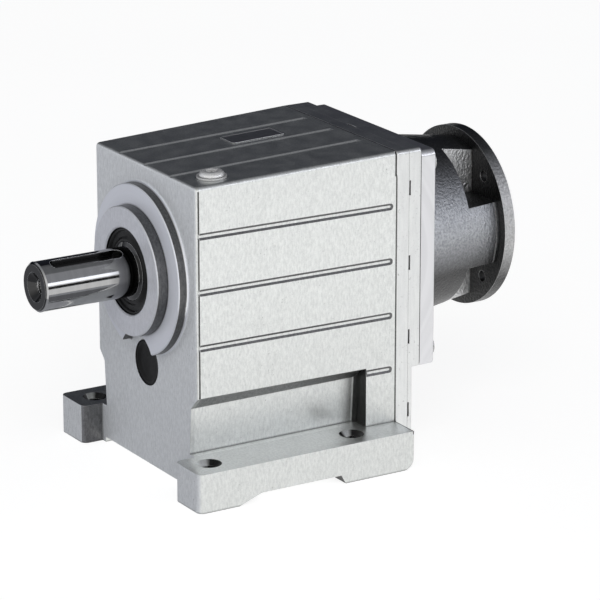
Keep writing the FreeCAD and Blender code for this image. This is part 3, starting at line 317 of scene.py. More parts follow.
def leaning_sides(tree):
    """1 on surfaces of the sides that lean away from X, behind the rounded front edge."""
    along_x = facing(tree, X)
    lean = both(tree, soft_step(tree, along_x, 0.95, 0.88), soft_step(tree, along_x, 0.3, 0.5))
    return both(tree, lean, above(tree, millimetres(tree)[2], FRONT + FRONT_ROUNDING))


def groove_wall_shade(tree):
    """Painted shade, 1 on the groove walls in the sides, from the recess's top to below the top edge."""
    _, _, y, z = millimetres(tree)
    long_ones = between(tree, z, RECESS_TOP, GROOVE_TOP)
    short_one = both(tree, between(tree, z, CEILING_START, RECESS_TOP), above(tree, y, RECESS_REAR))
    return both(tree, leaning_sides(tree), maths(tree, "ADD", long_ones, short_one))


def recess_ceiling_shade(tree):
    """Painted shade, 1 on the sloping ceilings of the recesses over the feet."""
    _, _, y, z = millimetres(tree)
    level = between(tree, z, CEILING_START, RECESS_TOP)
    return both(tree, leaning_sides(tree), level, below(tree, y, RECESS_REAR))


def recess_end_shade(tree):
    """Painted shade, 1 on the end walls of the recesses over the feet, which look along Y."""
    _, _, y, z = millimetres(tree)
    wall = soft_step(tree, facing(tree, Y), 0.15, 0.4)
    length = between(tree, y, FRONT + BEHIND_EDGE, RECESS_REAR + 1)
    return both(tree, wall, length, below(tree, z, END_WALL_TOP))


def foot_hole_shade(tree):
    """Painted shade, 1 in the bolt holes of the feet."""
    _, x, y, z = millimetres(tree)
    across = between(tree, maths(tree, "ABSOLUTE", x), *HOLE_ROW)
    row = both(tree, across, between(tree, y, *HOLE_ROW_ENDS))
    return both(tree, row, between(tree, z, *HOLE_DEPTH), below(tree, facing(tree, Z), 0.9))


def foot_side_shade(tree):
    """Painted shade, 1 on the feet's inner sides in front of the case."""
    _, x, y, z = millimetres(tree)
    inward = below(tree, maths(tree, "MULTIPLY", x, looking(tree, X)), -INNER_SIDE)
    return both(tree, inward, below(tree, y, FRONT - 0.5), below(tree, z, OVER_FEET))


def rear_seam(tree):
    """1 on the last strip of the case before the bearing plate."""
    _, _, y, z = millimetres(tree)
    return both(tree, above(tree, y, CASE_REAR - SEAM_WIDTH), above(tree, z, SEAM_LOW))


def front_faces(tree):
    """1 on the case's faces that look forward, which are blasted and scatter the light."""
    ahead = below(tree, millimetres(tree)[2], FRONT + 0.5)
    return both(tree, ahead, soft_step(tree, facing(tree, Y), 0.55, 0.85))


print("masks on the case ready")

# %% [markdown]
# ## Places on the adapter
# The square flange and the rear of the motor flange are milled, and the lantern between them keeps its
# cast skin. The lantern gets painted shade where it looks up or down, and so does the front of the
# motor flange, deep behind it. The walls of the bolt pockets, the flange's rim and the lantern's last
# lip get painted highlights.

# %% Masks on the adapter
DISC_START = FLANGE_REAR + 30
DISC_HOLES = (RIM_REACH - 16, RIM_REACH - 5)
POCKET_WALL = (18, 21)
LIP = (RIM_FRONT - 2.6, RIM_FRONT - 1.3)


def flange_zone(tree):
    """1 on the adapter's milled square flange and on its rear faces, 0 on its cast lantern."""
    y = millimetres(tree)[2]
    rear = both(tree, above(tree, y, RIM_FRONT + 1), soft_step(tree, looking(tree, Y), 0.7, 0.9))
    return maths(tree, "MAXIMUM", rear, below(tree, y, FLANGE_REAR - 0.1))


def disc_front_shade(tree):
    """Painted shade, 1 on the motor flange's front and in its bolt holes, deep behind the lantern."""
    y = millimetres(tree)[2]
    front = both(tree, above(tree, y, DISC_START), soft_step(tree, looking(tree, Y), -0.7, -0.9))
    holes = both(tree, between(tree, shaft_distance(tree), *DISC_HOLES), above(tree, y, RIM_FRONT + 0.2))
    walls = both(tree, holes, soft_step(tree, facing(tree, Y), 0.5, 0.3))
    return maths(tree, "MAXIMUM", front, walls)


def lantern_shade(tree):
    """Painted shade: up to 1 on the lantern where it looks up or down, and little on its sides."""
    look = looking(tree, Z)
    upper = remap(tree, look, 0.3, 0.85, 0, 0.9)
    overlay_tone = maths(tree, "MAXIMUM", soft_step(tree, look, 0.1, -0.35), upper)
    return both(tree, overlay_tone, above(tree, millimetres(tree)[2], FLANGE_REAR))


def pocket_wall_highlight(tree):
    """Painted highlight, 1 on the upright walls of the lantern's bolt pockets, which look along X."""
    _, x, y, _ = millimetres(tree)
    upright = between(tree, maths(tree, "ABSOLUTE", x), *POCKET_WALL)
    return both(tree, upright, above(tree, y, FLANGE_REAR), soft_step(tree, facing(tree, X), 0.85, 0.95))


def rim_highlight(tree):
    """Painted highlight, up to 1 on the motor flange's rim at the sides."""
    outer = above(tree, shaft_distance(tree), RIM_REACH - 1)
    round_face = soft_step(tree, facing(tree, Y), 0.5, 0.3)
    sides = both(tree, round_face, soft_step(tree, facing(tree, X), 0.5, 0.85))
    upper = soft_step(tree, looking(tree, Z), -0.55, -0.1)
    return both(tree, outer, sides, upper, above(tree, millimetres(tree)[2], RIM_FRONT - 1))


def lantern_lip_highlight(tree):
    """Painted highlight, 1 on the narrow lip where the lantern's sides end, just before the motor flange.
    """
    outer = above(tree, shaft_distance(tree), LANTERN_REACH)
    sides = soft_step(tree, facing(tree, Z), 0.6, 0.4)
    return both(tree, outer, sides, between(tree, millimetres(tree)[2], *LIP))


print("masks on the adapter ready")

# %% [markdown]
# ## Steps that the finishes share
# A finish starts from the standard shader. Stains, painted shade and painted highlights lie over its
# colour, its roughness varies a little round a middle value, and its relief is a bump over edges that
# only the normals round.

# %% Steps of a finish
def start_material(name):
    material = bpy.data.materials.new(name)
    material.use_nodes = True
    tree = material.node_tree
    return material, tree, tree.nodes["Principled BSDF"]


def grey(level, warm=0.0):
    return (level + warm, level, level - warm, 1)


def lay_tone(tree, colour, mask, strength, tone):
    """Lay a tone over a colour where a mask is set, at a share of its full strength."""
    return blend_colours(tree, maths(tree, "MULTIPLY", mask, strength), colour, tone)


def spread(tree, mask, middle, reach):
    """A roughness that a mask carries from below a middle value to above it."""
    return remap(tree, mask, 0, 1, middle - reach, middle + reach)


def add_relief(tree, shader, height, relief, edge):
    """Relief over edges that only the normals round, both in millimetres."""
    soft = place(tree, "Bevel", {"Radius": edge * MM}, samples=6)
    bump = place(tree, "Bump", {"Height": height, "Normal": soft.outputs[0], "Strength": 1,
                                "Distance": relief * MM})
    tree.links.new(bump.outputs[0], shader.inputs["Normal"])


print("steps of a finish ready")

# %% [markdown]
# ## Castings
# The case, the two rear plates and the adapter are bare cast aluminium. The case has a fine bright
# skin, and the adapter is sand-cast, darker and much rougher. One function makes all of them, because
# they differ only in grain, colour, polish and in the places that the masks pick out.

# %% Function for castings
MILLING_PITCH = 0.6
FLOOR_SHADE_TOP, UNSHADED_HALF_WIDTH = 130, 56
BLASTED_METAL, BLASTED_TINT = 0.2, (0.98, 0.99, 1.05, 1)


def casting(name, bright, dark, lump, grain, relief, roughness, draw=0.15, reach=1.4, edge=0.5,
            milled=None, walls=(), blasted=None, floor_shade=1.0):
    """Cast aluminium: streaked colour, lumpy relief, painted shade in corners, painted highlights on
    edges.

    milled, if given, holds the mask of a machined place, its two tones and its roughness. walls lists
    masks of places with a tone of their own, and its tone: painted shade, painted highlights and a dark
    rear seam. blasted is the mask of faces that scatter light, and the last argument is what is left of
    the colour near the floor, as painted shade.
    """
    material, tree, shader = start_material(name)
    skin = use_group(tree, CAST_SKIN, {"Lump mm": lump, "Grain mm": grain, "Draw": draw})
    corners = use_group(tree, CORNERS, {"Reach mm": reach, "Edge mm": edge})
    height, mottle = skin.outputs["Height"], skin.outputs["Mottle"]
    colour = blend_colours(tree, mottle, dark, bright)
    colour = lay_tone(tree, colour, skin.outputs["Specks"], 0.6, grey(0.25))
    finish = spread(tree, skin.outputs["Patches"], roughness, 0.03)
    if milled:
        zone_of, tones, polish = milled
        zone = zone_of(tree)
        turned = use_group(tree, TURNED_LINES, {"Pitch mm": MILLING_PITCH})
        height = blend(tree, zone, height, remap(tree, turned.outputs["Height"], 0, 1, 0.49, 0.51))
        streaked = blend_colours(tree, turned.outputs["Streaks"], *tones)
        colour = blend_colours(tree, zone, colour, streaked)
        finish = blend(tree, zone, finish, polish)
    # Painted shade: below 130 mm the colour darkens towards the floor on the front, the sides and the
    # feet.
    if floor_shade < 1:
        _, x, y, z = millimetres(tree)
        unshaded = both(tree, between(tree, x, -UNSHADED_HALF_WIDTH, UNSHADED_HALF_WIDTH), above(tree, y, FRONT + BEHIND_EDGE))
        unshaded_share = maths(tree, "MAXIMUM", unshaded, remap(tree, z, 0, FLOOR_SHADE_TOP, floor_shade, 1))
        colour = place(tree, "VectorMath", {0: colour, "Scale": unshaded_share}, operation="SCALE").outputs[0]
    # Each place gets its tone: painted shade on most, painted highlights on some, a dark joint on the
    # rear seam.
    for wall_of, tone in walls:
        overlay_tone = blend_colours(tree, mottle, grey(0.75 * tone), grey(1.25 * tone))
        colour = blend_colours(tree, wall_of(tree), colour, overlay_tone)
    # Painted shade in hidden corners, then painted highlights on the edges.
    colour = lay_tone(tree, colour, corners.outputs["Dirt"], 0.85, grey(0.02))
    colour = lay_tone(tree, colour, corners.outputs["Edge"], 0.7, grey(0.93))
    shader.inputs["Metallic"].default_value = 1
    if blasted:
        matt = blasted(tree)
        tint = {0: matt, 6: colour, 7: BLASTED_TINT}
        colour = place(tree, "Mix", tint, data_type="RGBA", blend_type="MULTIPLY").outputs[2]
        tree.links.new(remap(tree, matt, 0, 1, 1, BLASTED_METAL), shader.inputs["Metallic"])
    tree.links.new(colour, shader.inputs["Base Color"])
    tree.links.new(finish, shader.inputs["Roughness"])
    add_relief(tree, shader, height, relief, edge)
    return material


print("casting function ready")

# %% [markdown]
# Each wall below is a mask with its tone, laid on in this order. Dark tones are painted shade, except
# the rear seam's, which is a dark joint, and light ones are painted highlights.

# %% Finishes of the castings
FINISH = {}
TURNED_BOSS = (boss_zone, ((0.83, 0.845, 0.87, 1), (0.89, 0.905, 0.93, 1)), 0.36)
MILLED_FLANGE = (flange_zone, ((0.73, 0.73, 0.745, 1), (0.79, 0.79, 0.805, 1)), 0.36)
CASE_SHADES_AND_SEAM = ((boss_front_shade, 0.56), (boss_wall_shade, 0.15), (groove_wall_shade, 0.17), (recess_ceiling_shade, 0.45),
              (foot_hole_shade, 0.1), (foot_side_shade, 0.2), (recess_end_shade, 0.035), (rear_seam, 0.04))
ADAPTER_SHADES_AND_HIGHLIGHTS = ((lantern_shade, 0.075), (pocket_wall_highlight, 0.66), (rim_highlight, 0.47), (disc_front_shade, 0.05),
                 (lantern_lip_highlight, 0.78))
FINISH["case"] = casting("case_casting", bright=(0.885, 0.9, 0.88, 1), dark=(0.71, 0.725, 0.71, 1),
                         lump=1.3, grain=0.6, relief=0.08, roughness=0.4, draw=0.42,
                         milled=TURNED_BOSS, walls=CASE_SHADES_AND_SEAM, blasted=front_faces, floor_shade=0.86)
FINISH["plate"] = casting("plate_casting", bright=(0.83, 0.84, 0.83, 1), dark=(0.745, 0.755, 0.75, 1),
                          lump=2.0, grain=0.5, relief=0.035, roughness=0.36)
FINISH["adapter"] = casting("adapter_casting", bright=(0.54, 0.55, 0.575, 1), dark=(0.3, 0.31, 0.33, 1),
                            lump=1.5, grain=0.7, relief=0.8, roughness=0.34, draw=1.0, reach=1.6,
                            milled=MILLED_FLANGE, walls=ADAPTER_SHADES_AND_HIGHLIGHTS)
print("castings:", sorted(FINISH))

# %% [markdown]
# ## Steel, zinc, rubber and sheet
# The output shaft is ground and shows sharp bands of light along its length, broken by faint lines
# round it. Gears and bearings are the same steel with other polish. Screws carry a thin zinc layer
# with a faint tint, the seals and the cap are black, and the rating plate is brushed sheet.

# %% Functions for the smaller pieces
KEYED_RADIUS, SEAL_FRONT = 15.0, -64.0
# Where painted shade grows along the shaft towards the seal.
SHADED_NEAR_SEAL = (SEAL_FRONT - 20, SEAL_FRONT - 8)


def turned_metal(name, bright, dark, roughness, pitch, relief, axis=AXIS_HEIGHT, overlay_tone=None):
    """Turned or ground metal with lines round its axis.

    The last argument is the tone of painted shade in the shaft's hollows, of a painted dark reflection
    on the faces across it and, in part, of painted shade that grows towards the seal.
    """
    material, tree, shader = start_material(name)
    lines = use_group(tree, TURNED_LINES, {"Pitch mm": pitch, "Axis mm": axis / MM})
    corners = use_group(tree, CORNERS, {"Reach mm": 2.5, "Edge mm": 0.7})
    colour = blend_colours(tree, lines.outputs["Streaks"], dark, bright)
    if overlay_tone:
        # Painted shade in hollows and near the seal, and a painted dark reflection on the end faces.
        _, x, y, z = millimetres(tree)
        inside = below(tree, axis_distance(tree, x, z, axis / MM), KEYED_RADIUS - 0.8)
        hollow = both(tree, inside, below(tree, y, SEAL_FRONT))
        across = soft_step(tree, facing(tree, Y), 0.8, 0.94)
        near_seal_shade = remap(tree, y, *SHADED_NEAR_SEAL, 0, 0.75)
        dull = maths(tree, "MAXIMUM", maths(tree, "MAXIMUM", hollow, across), near_seal_shade)
        colour = blend_colours(tree, dull, colour, overlay_tone)
    # Painted shade in hidden corners, then painted highlights on the edges.
    colour = lay_tone(tree, colour, corners.outputs["Dirt"], 0.8, grey(0.015))
    colour = blend_colours(tree, corners.outputs["Edge"], colour, grey(0.9))
    tree.links.new(colour, shader.inputs["Base Color"])
    tree.links.new(spread(tree, lines.outputs["Streaks"], roughness, 0.02), shader.inputs["Roughness"])
    shader.inputs["Metallic"].default_value = 1
    add_relief(tree, shader, lines.outputs["Height"], relief, edge=0.3)
    return material


def skinned(name, bright, dark, roughness, lump, grain, relief, metallic=0.0, gloss=0.5):
    """Rubber, paper or plated metal: a small grain, patches of other polish and painted shade in corners.
    """
    material, tree, shader = start_material(name)
    skin = use_group(tree, CAST_SKIN, {"Lump mm": lump, "Grain mm": grain, "Draw": 1.0})
    corners = use_group(tree, CORNERS, {"Reach mm": 1.5, "Edge mm": 0.25})
    colour = blend_colours(tree, skin.outputs["Mottle"], dark, bright)
    # Painted shade in hidden corners.
    colour = lay_tone(tree, colour, corners.outputs["Dirt"], 0.7, grey(0.01))
    tree.links.new(colour, shader.inputs["Base Color"])
    tree.links.new(spread(tree, skin.outputs["Patches"], roughness, 0.07), shader.inputs["Roughness"])
    shader.inputs["Metallic"].default_value = metallic
    shader.inputs["Specular IOR Level"].default_value = gloss
    add_relief(tree, shader, skin.outputs["Height"], relief, edge=0.25)
    return material


def brushed_sheet(name):
    """Rating sheet: strokes along its length, made from noise that is stretched along Y."""
    material, tree, shader = start_material(name)
    spot = millimetres(tree)[0]
    stretched = place(tree, "Mapping", {"Vector": spot, "Scale": (5, 0.12, 1)})
    strokes = place(tree, "TexNoise", {"Vector": stretched.outputs[0], "Scale": 1, "Detail": 4})
    value = soft_step(tree, strokes.outputs["Fac"], 0.3, 0.7)
    corners = use_group(tree, CORNERS, {"Reach mm": 1.0, "Edge mm": 0.25})
    colour = blend_colours(tree, value, grey(0.6), grey(0.72))
    # Painted shade in hidden corners, then painted highlights on the edges.
    colour = blend_colours(tree, corners.outputs["Dirt"], colour, grey(0.1))
    colour = blend_colours(tree, corners.outputs["Edge"], colour, grey(0.95))
    tree.links.new(colour, shader.inputs["Base Color"])
    tree.links.new(spread(tree, value, 0.33, 0.03), shader.inputs["Roughness"])
    shader.inputs["Metallic"].default_value = 1
    add_relief(tree, shader, value, relief=0.004, edge=0.2)
    return material


print("functions for the smaller pieces ready")

# %% [markdown]
# The middle shaft's pieces repeat the steel of the others, with lines round their own, lower axis.

# %% Finishes of the smaller pieces
MID_HEIGHT = AXIS_HEIGHT - 58.75 * MM
GEAR_STEEL = dict(bright=grey(0.5, 0.01), dark=grey(0.4, 0.01), roughness=0.3, pitch=0.3, relief=0.004)
RACE_STEEL = dict(bright=grey(0.66), dark=grey(0.58), roughness=0.16, pitch=0.2, relief=0.002)
RUBBER_GRAIN = dict(lump=1.0, grain=0.25)
ZINC_GRAIN = dict(lump=1.2, grain=0.3)
# The shaft's dark tone paints shade in its hollows and near the seal, and a dark reflection on its ends.
FINISH["shaft"] = turned_metal("ground_steel", grey(0.47), grey(0.44), roughness=0.08, pitch=0.22,
                               relief=0.0004, overlay_tone=grey(0.06))
FINISH["gear"] = turned_metal("gear_steel", **GEAR_STEEL)
FINISH["mid_gear"] = turned_metal("mid_gear_steel", **GEAR_STEEL, axis=MID_HEIGHT)
FINISH["bearing"] = turned_metal("bearing_steel", **RACE_STEEL)
FINISH["mid_bearing"] = turned_metal("mid_bearing_steel", **RACE_STEEL, axis=MID_HEIGHT)
FINISH["zinc"] = skinned("zinc_screws", (0.5, 0.5, 0.49, 1), (0.4, 0.405, 0.41, 1), roughness=0.27,
                         relief=0.015, metallic=1, **ZINC_GRAIN)
FINISH["bright_zinc"] = skinned("bright_zinc", grey(0.88), grey(0.8), roughness=0.24, relief=0.01,
                                metallic=0.5, **ZINC_GRAIN)
FINISH["rubber"] = skinned("black_rubber", grey(0.012), grey(0.007), roughness=0.42, relief=0.02,
                           gloss=0.15, **RUBBER_GRAIN)
FINISH["seal"] = skinned("seal_rubber", grey(0.01), grey(0.006), roughness=0.25, relief=0.01,
                         gloss=0.2, **RUBBER_GRAIN)
FINISH["gasket"] = skinned("gasket_sheet", grey(0.03), grey(0.015), roughness=0.75, lump=0.8,
                           grain=0.2, relief=0.05)
FINISH["rating"] = brushed_sheet("rating_sheet")
print("finishes:", len(FINISH))

# %% [markdown]
# ## Dress the solids
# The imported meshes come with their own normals, smooth along curves and sharp at edges, so they are
# left alone. Each node only gets its finish.

# %% Finish of every node
NODE_FINISH = {
    "case": ["gear_case"],
    "plate": ["bearing_plate", "input_cover"],
    "adapter": ["motor_adapter"],
    "shaft": ["output_shaft", "input_shaft"],
    "gear": ["output_gear", "bearing_sleeve", "gear_clip", "dowel_pins"],
    "mid_gear": ["mid_gear", "mid_pinion_shaft"],
    "bearing": ["output_bearing_outer", "output_bearing_inner",
                "input_bearing_outer", "input_bearing_inner"],
    "mid_bearing": ["mid_bearing_outer", "mid_bearing_inner"],
    "zinc": ["adapter_screws", "plate_screws"],
    "bright_zinc": ["filler_screw", "filler_washer"],
    "rubber": ["bore_cap"],
    "seal": ["output_seal", "input_seal"],
    "gasket": ["adapter_gasket"],
    "rating": ["rating_plate"],
}


def dress_node(name, material):
    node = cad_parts[name]
    node.data.materials.clear()
    node.data.materials.append(material)


for finish, names in NODE_FINISH.items():
    for name in names:
        dress_node(name, FINISH[finish])
print("nodes dressed:", sum(len(names) for names in NODE_FINISH.values()), "of", len(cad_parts))

# %% [markdown]
# ## Surfaces from grids
# Screws, seals and caps are turned, so each is a profile carried once round an axis. The rows of a
# grid follow the profile and its columns go round. The last column joins the first, and a row of
# equal points closes a pole, so that the finished mesh has no open edge.

# %% Helpers for grid surfaces
def angles(columns):
    """Equal steps once round, without the last, which is the first again."""
    return np.linspace(0, 2 * np.pi, columns, endpoint=False)


def turned_grid(origin, axis, along, radius, columns):
    """Points of a turned surface: origin + along * axis + radius * (cos a * side + sin a * over).

    along holds a number for each row, and radius one for each row or for each row and column, all in
    millimetres. The angle a runs once round, and side and over are square to the axis.
    """
    axis = np.asarray(axis, float)
    side = np.array((1.0, 0.0, 0.0))
    over = np.cross(axis, side)
    a = angles(columns)[:, None]
    ring = np.cos(a) * side + np.sin(a) * over
    radius = np.asarray(radius, float).reshape(len(along), -1, 1)
    return (np.asarray(origin) + np.asarray(along)[:, None, None] * axis + radius * ring) * MM


def grid_piece(name, grids, finish, body, node=None, sharp=40):
    """One piece from grids of points: neighbours in rows and columns are joined by four-sided faces."""
    quads, start = [], 0
    for grid in grids:
        rows, columns = grid.shape[:2]
        index = start + np.arange(rows * columns).reshape(rows, columns)
        ahead = np.roll(index, -1, axis=1)
        quads.append(np.stack([index[:-1], ahead[:-1], ahead[1:], index[1:]], -1).reshape(-1, 4))
        start += rows * columns
    points = np.concatenate([grid.reshape(-1, 3) for grid in grids])
    mesh = bpy.data.meshes.new(name)
    mesh.from_pydata(points.tolist(), [], np.concatenate(quads).tolist())
    work = bmesh.new()
    work.from_mesh(mesh)
    bmesh.ops.remove_doubles(work, verts=work.verts, dist=0.001 * MM)
    bmesh.ops.recalc_face_normals(work, faces=work.faces)
    work.to_mesh(mesh)
    work.free()
    mesh.polygons.foreach_set("use_smooth", np.ones(len(mesh.polygons), bool))
    mesh.set_sharp_from_angle(angle=math.radians(sharp))
    mesh.materials.append(FINISH[finish])
    piece = bpy.data.objects.new(name, mesh)
    bpy.context.scene.collection.objects.link(piece)
    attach(piece, body)
    if node:
        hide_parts(node)
    print(name, "has", len(mesh.polygons), "faces")
    return piece


def node_box(name):
    """Lowest and highest corner of a node in millimetres."""
    return [np.array(corner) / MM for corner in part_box(name)]


print("grid helpers ready")

# %% [markdown]
# ## Socket screws
# The adapter and the plate are held by socket-head screws. A real head has a knurled side, a rounded
# rim and a hexagon that ends in a drill point. All of it can be one turned surface whose radius also
# depends on the angle, so no cutting is needed.

# %% Screws of the adapter and the plate
SCREW_COLUMNS = 160
KNURLS, KNURL_DEPTH = 40, 0.14
CHAMFER = 0.8


def hexagon(flats, columns):
    """Radius of a hexagon: half the width across flats over the cosine of the angle from a flat."""
    sixth = np.pi / 3
    return flats / 2 / np.cos((angles(columns) + sixth / 2) % sixth - sixth / 2)


def socket_screw(origin, axis, head, height, shank, length, flats, depth, knurl, rise=0.9, reach=0.9):
    """A socket screw from its shank's end, round the head and down to the hexagon's floor.

    Each row has a place along the axis, a radius and two shares. The first share takes a triangle wave of
    the angle off the radius, as a knurl. The second share replaces the radius by the hexagon's. rise and
    reach are how far the rounding of the rim comes down the side and over the top.
    """
    r, s, top, floor, socket = head / 2, shank / 2, height, height - depth, 0.6 * flats
    rows = np.array([
        (-length, 0, 0, 0), (-length, s - CHAMFER, 0, 0), (CHAMFER - length, s, 0, 0), (0, s, 0, 0),
        (0, r - 0.3, 0, 0), (0.15, r, 1, 0), (top - rise, r, 1, 0),
        (top - 0.7 * rise, r - 0.05 * reach, 0, 0), (top - 0.28 * rise, r - 0.28 * reach, 0, 0),
        (top - 0.07 * rise, r - 0.61 * reach, 0, 0), (top, r - reach, 0, 0),
        (top, socket + 0.15, 0, 0), (top - 0.3, socket, 0, 1), (floor, socket, 0, 1),
        (floor - 0.2 * flats, 0, 0, 0)])
    along, radius, knurled, hexed = rows.T
    wave = np.abs(angles(SCREW_COLUMNS) * KNURLS / (2 * np.pi) % 1 * 2 - 1)
    radius = radius[:, None] - knurl * knurled[:, None] * wave
    radius = np.where(hexed[:, None] > 0, hexagon(flats, SCREW_COLUMNS), radius)
    return turned_grid(origin, axis, along, radius, SCREW_COLUMNS)


def screw_set(name, node, head, height, shank, flats, depth, tall):
    """Screws along +Y in the corners of a node's box, or side by side in it where it is one head tall."""
    low, high = node_box(node)
    seat = high[1] - height
    across = (low[0] + head / 2, high[0] - head / 2)
    levels = (low[2] + head / 2, high[2] - head / 2)[:2 if tall else 1]
    screws = [socket_screw((x, seat, z), (0, 1, 0), head, height, shank, length=seat - low[1],
                           flats=flats, depth=depth, knurl=KNURL_DEPTH)
              for x in across for z in levels]
    return grid_piece(name, screws, "zinc", "housing", node)


screw_set("adapter_socket_screws", "adapter_screws", head=13, height=3.5, shank=8, flats=5, depth=2.2,
          tall=True)
screw_set("plate_socket_screws", "plate_screws", head=10, height=6, shank=6, flats=5, depth=3.2,
          tall=False)

# %% [markdown]
# ## Filler plug
# The plug on the top is a socket screw with a low, domed head. The top slopes a little towards the
# front, so the plug's axis is the slope's normal.

# %% Filler plug
TOP_RISE, CASE_LENGTH = 3.8, 134.4
TOP_SLOPE = math.atan(TOP_RISE / CASE_LENGTH)
TOP_NORMAL = np.array((0, -math.sin(TOP_SLOPE), math.cos(TOP_SLOPE)))
PLUG_HEAD, PLUG_HEIGHT, DOME_HEIGHT = 15, 3.2, 3.0
low, high = node_box("filler_screw")
plug_top = (low + high) / 2
plug_top[2] = high[2] - PLUG_HEAD / 2 * math.sin(TOP_SLOPE)
plug_seat = plug_top - PLUG_HEIGHT * TOP_NORMAL
plug = socket_screw(plug_seat, TOP_NORMAL, PLUG_HEAD, DOME_HEIGHT, shank=10,
                    length=plug_seat[2] - low[2] - 0.2, flats=6, depth=2.2, knurl=0, rise=2.6, reach=2.4)
grid_piece("filler_plug", [plug], "bright_zinc", "housing", "filler_screw")

# %% [markdown]
# ## Shaft seal and blanking cap
# A lip seal has a rounded outer rim, a sunken web and a lip that rises to the shaft. The cap is a
# pressed cup with a rounded edge and a shallow dish. Both are closed profiles carried round a line
# along Y.

# %% Seal and cap
SEAL_COLUMNS = 160
SEALED_RADIUS = 17.5


def lip_seal(low, high, inner):
    """The seal's profile as distance behind its front and radius, carried round the shaft's axis."""
    outer, depth = (high[0] - low[0]) / 2, high[1] - low[1]
    profile = np.array([
        (depth - 0.3, outer), (0.7, outer), (0.25, outer - 0.2), (0.02, outer - 0.65),
        (0.06, outer - 1.3), (0.5, outer - 1.8), (1.6, outer - 2.2), (1.8, outer - 2.8),
        (1.8, inner + 3.7), (1.55, inner + 3.0), (0.8, inner + 2.1), (0.4, inner + 1.35),
        (0.3, inner + 0.8), (0.5, inner + 0.3), (1.0, inner + 0.05), (2.2, inner + 0.06),
        (3.0, inner + 0.8), (4.0, inner + 0.05), (5.0, inner + 0.7), (depth - 0.6, inner + 2),
        (depth, inner + 2.4), (depth, outer - 0.3), (depth - 0.3, outer)])
    front = (0, low[1], AXIS_HEIGHT / MM)
    return turned_grid(front, (0, 1, 0), profile[:, 0], profile[:, 1], SEAL_COLUMNS)


def dished_cap(low, high):
    """The cap's profile from the middle of its dish over the rounded edge to the middle of its back."""
    outer, depth = (high[0] - low[0]) / 2, high[1] - low[1]
    profile = np.array([
        (1.1, 0), (1.1, 0.66 * outer), (0.95, 0.74 * outer), (0.35, 0.82 * outer), (0.05, 0.87 * outer),
        (0.02, 0.92 * outer), (0.2, outer - 0.3), (0.7, outer), (depth, outer), (depth, 0)])
    middle = ((low[0] + high[0]) / 2, low[1], (low[2] + high[2]) / 2)
    return turned_grid(middle, (0, 1, 0), profile[:, 0], profile[:, 1], SEAL_COLUMNS)


seal = lip_seal(*node_box("output_seal"), SEALED_RADIUS)
cap = dished_cap(*node_box("bore_cap"))
grid_piece("lip_seal", [seal], "seal", "housing", "output_seal")
grid_piece("blanking_cap", [cap], "rubber", "housing", "bore_cap")

# %% [markdown]
# ## Thread in the shaft end
# The shaft's centre hole is tapped, so that a coupling can be drawn on. The thread is a thin sleeve in
# the hole. Its inner radius is a triangle wave of the place along the axis less the share of a turn,
# which makes the ridges climb by one pitch for each turn. It turns with the shaft.

# %% Thread of the centre hole
THREAD_PITCH, THREAD_TURNS, THREAD_COLUMNS = 1.5, 11, 48
THREAD_ROWS, RIDGE = 8, 0.62
HOLE_RADIUS, MOUTH = 5.0, 4.4


def tapped_sleeve(end):
    """Inner rows with radius = root - ridge * wave(along / pitch - turn), and a plain outer wall."""
    along = np.linspace(0, THREAD_PITCH * THREAD_TURNS, THREAD_ROWS * THREAD_TURNS + 1)
    turn = angles(THREAD_COLUMNS) / (2 * np.pi)
    ridge = np.abs((along[:, None] / THREAD_PITCH - turn) % 1 * 2 - 1)
    root = HOLE_RADIUS - 0.08
    inner = root - RIDGE * ridge
    wall = np.full((1, THREAD_COLUMNS), HOLE_RADIUS - 0.01)
    radius = np.concatenate([inner, wall, wall, inner[:1]])
    along = np.concatenate([along, along[-1:], along[:1], along[:1]])
    return turned_grid((0, end + MOUTH, AXIS_HEIGHT / MM), (0, 1, 0), along, radius, THREAD_COLUMNS)


shaft_end = node_box("output_shaft")[0][1]
grid_piece("shaft_thread", [tapped_sleeve(shaft_end)], "shaft", "output")

# %% [markdown]
# ## Rating plate
# The plate on the top is left bare. It is a thin sheet with a raised border: rings of a rounded
# rectangle that step up the edge, over the border and down to the field.

# %% Rating plate
SHEET_COLUMNS, SHEET_CORNER = 64, 1.5


def framed_sheet(low, high, corner):
    """Rings of a rounded rectangle: corner circles of a shrinking radius, set apart by the half sides.

    Each ring has a height above the sheet's middle and a distance in from the edge. Its points are
    sign(cos a) * (half side - radius) + radius * cos a, and the same with sin a for the other side.
    """
    half_x, half_y, half_z = (high[0] - low[0]) / 2, (high[1] - low[1]) / 2, 0.3
    rings = np.array([(-half_z, 0), (0.15, 0), (0.26, 0.1), (half_z, 0.3), (half_z, 0.9), (0.24, 1.05),
                      (0.05, 1.2), (0.03, 1.5)])
    height, inset = rings.T[:, :, None]
    a = angles(SHEET_COLUMNS) + np.pi / SHEET_COLUMNS
    radius = np.maximum(corner - inset, 0.3)
    x = np.sign(np.cos(a)) * (half_x - inset - radius) + radius * np.cos(a)
    y = np.sign(np.sin(a)) * (half_y - inset - radius) + radius * np.sin(a)
    outline = np.stack([x, y, np.broadcast_to(height, x.shape)], -1)
    ends = [np.zeros((1, SHEET_COLUMNS, 3)) + (0, 0, rings[row, 0]) for row in (0, -1)]
    local = np.concatenate([ends[0], outline, ends[1]])
    along = np.cross(TOP_NORMAL, (1, 0, 0))
    basis = np.stack([(1, 0, 0), along, TOP_NORMAL])
    return ((low + high) / 2 + local @ basis) * MM


sheet = framed_sheet(*node_box("rating_plate"), SHEET_CORNER)
grid_piece("bare_rating_plate", [sheet], "rating", "housing", "rating_plate", sharp=25)

# %% [markdown]
# ## Stage
# The part stands on a pale floor. The floor is white to the camera and to reflections, and a share of
# real light on it keeps the shadow.

# %% Floor
FLOOR_GLOW = 0.84


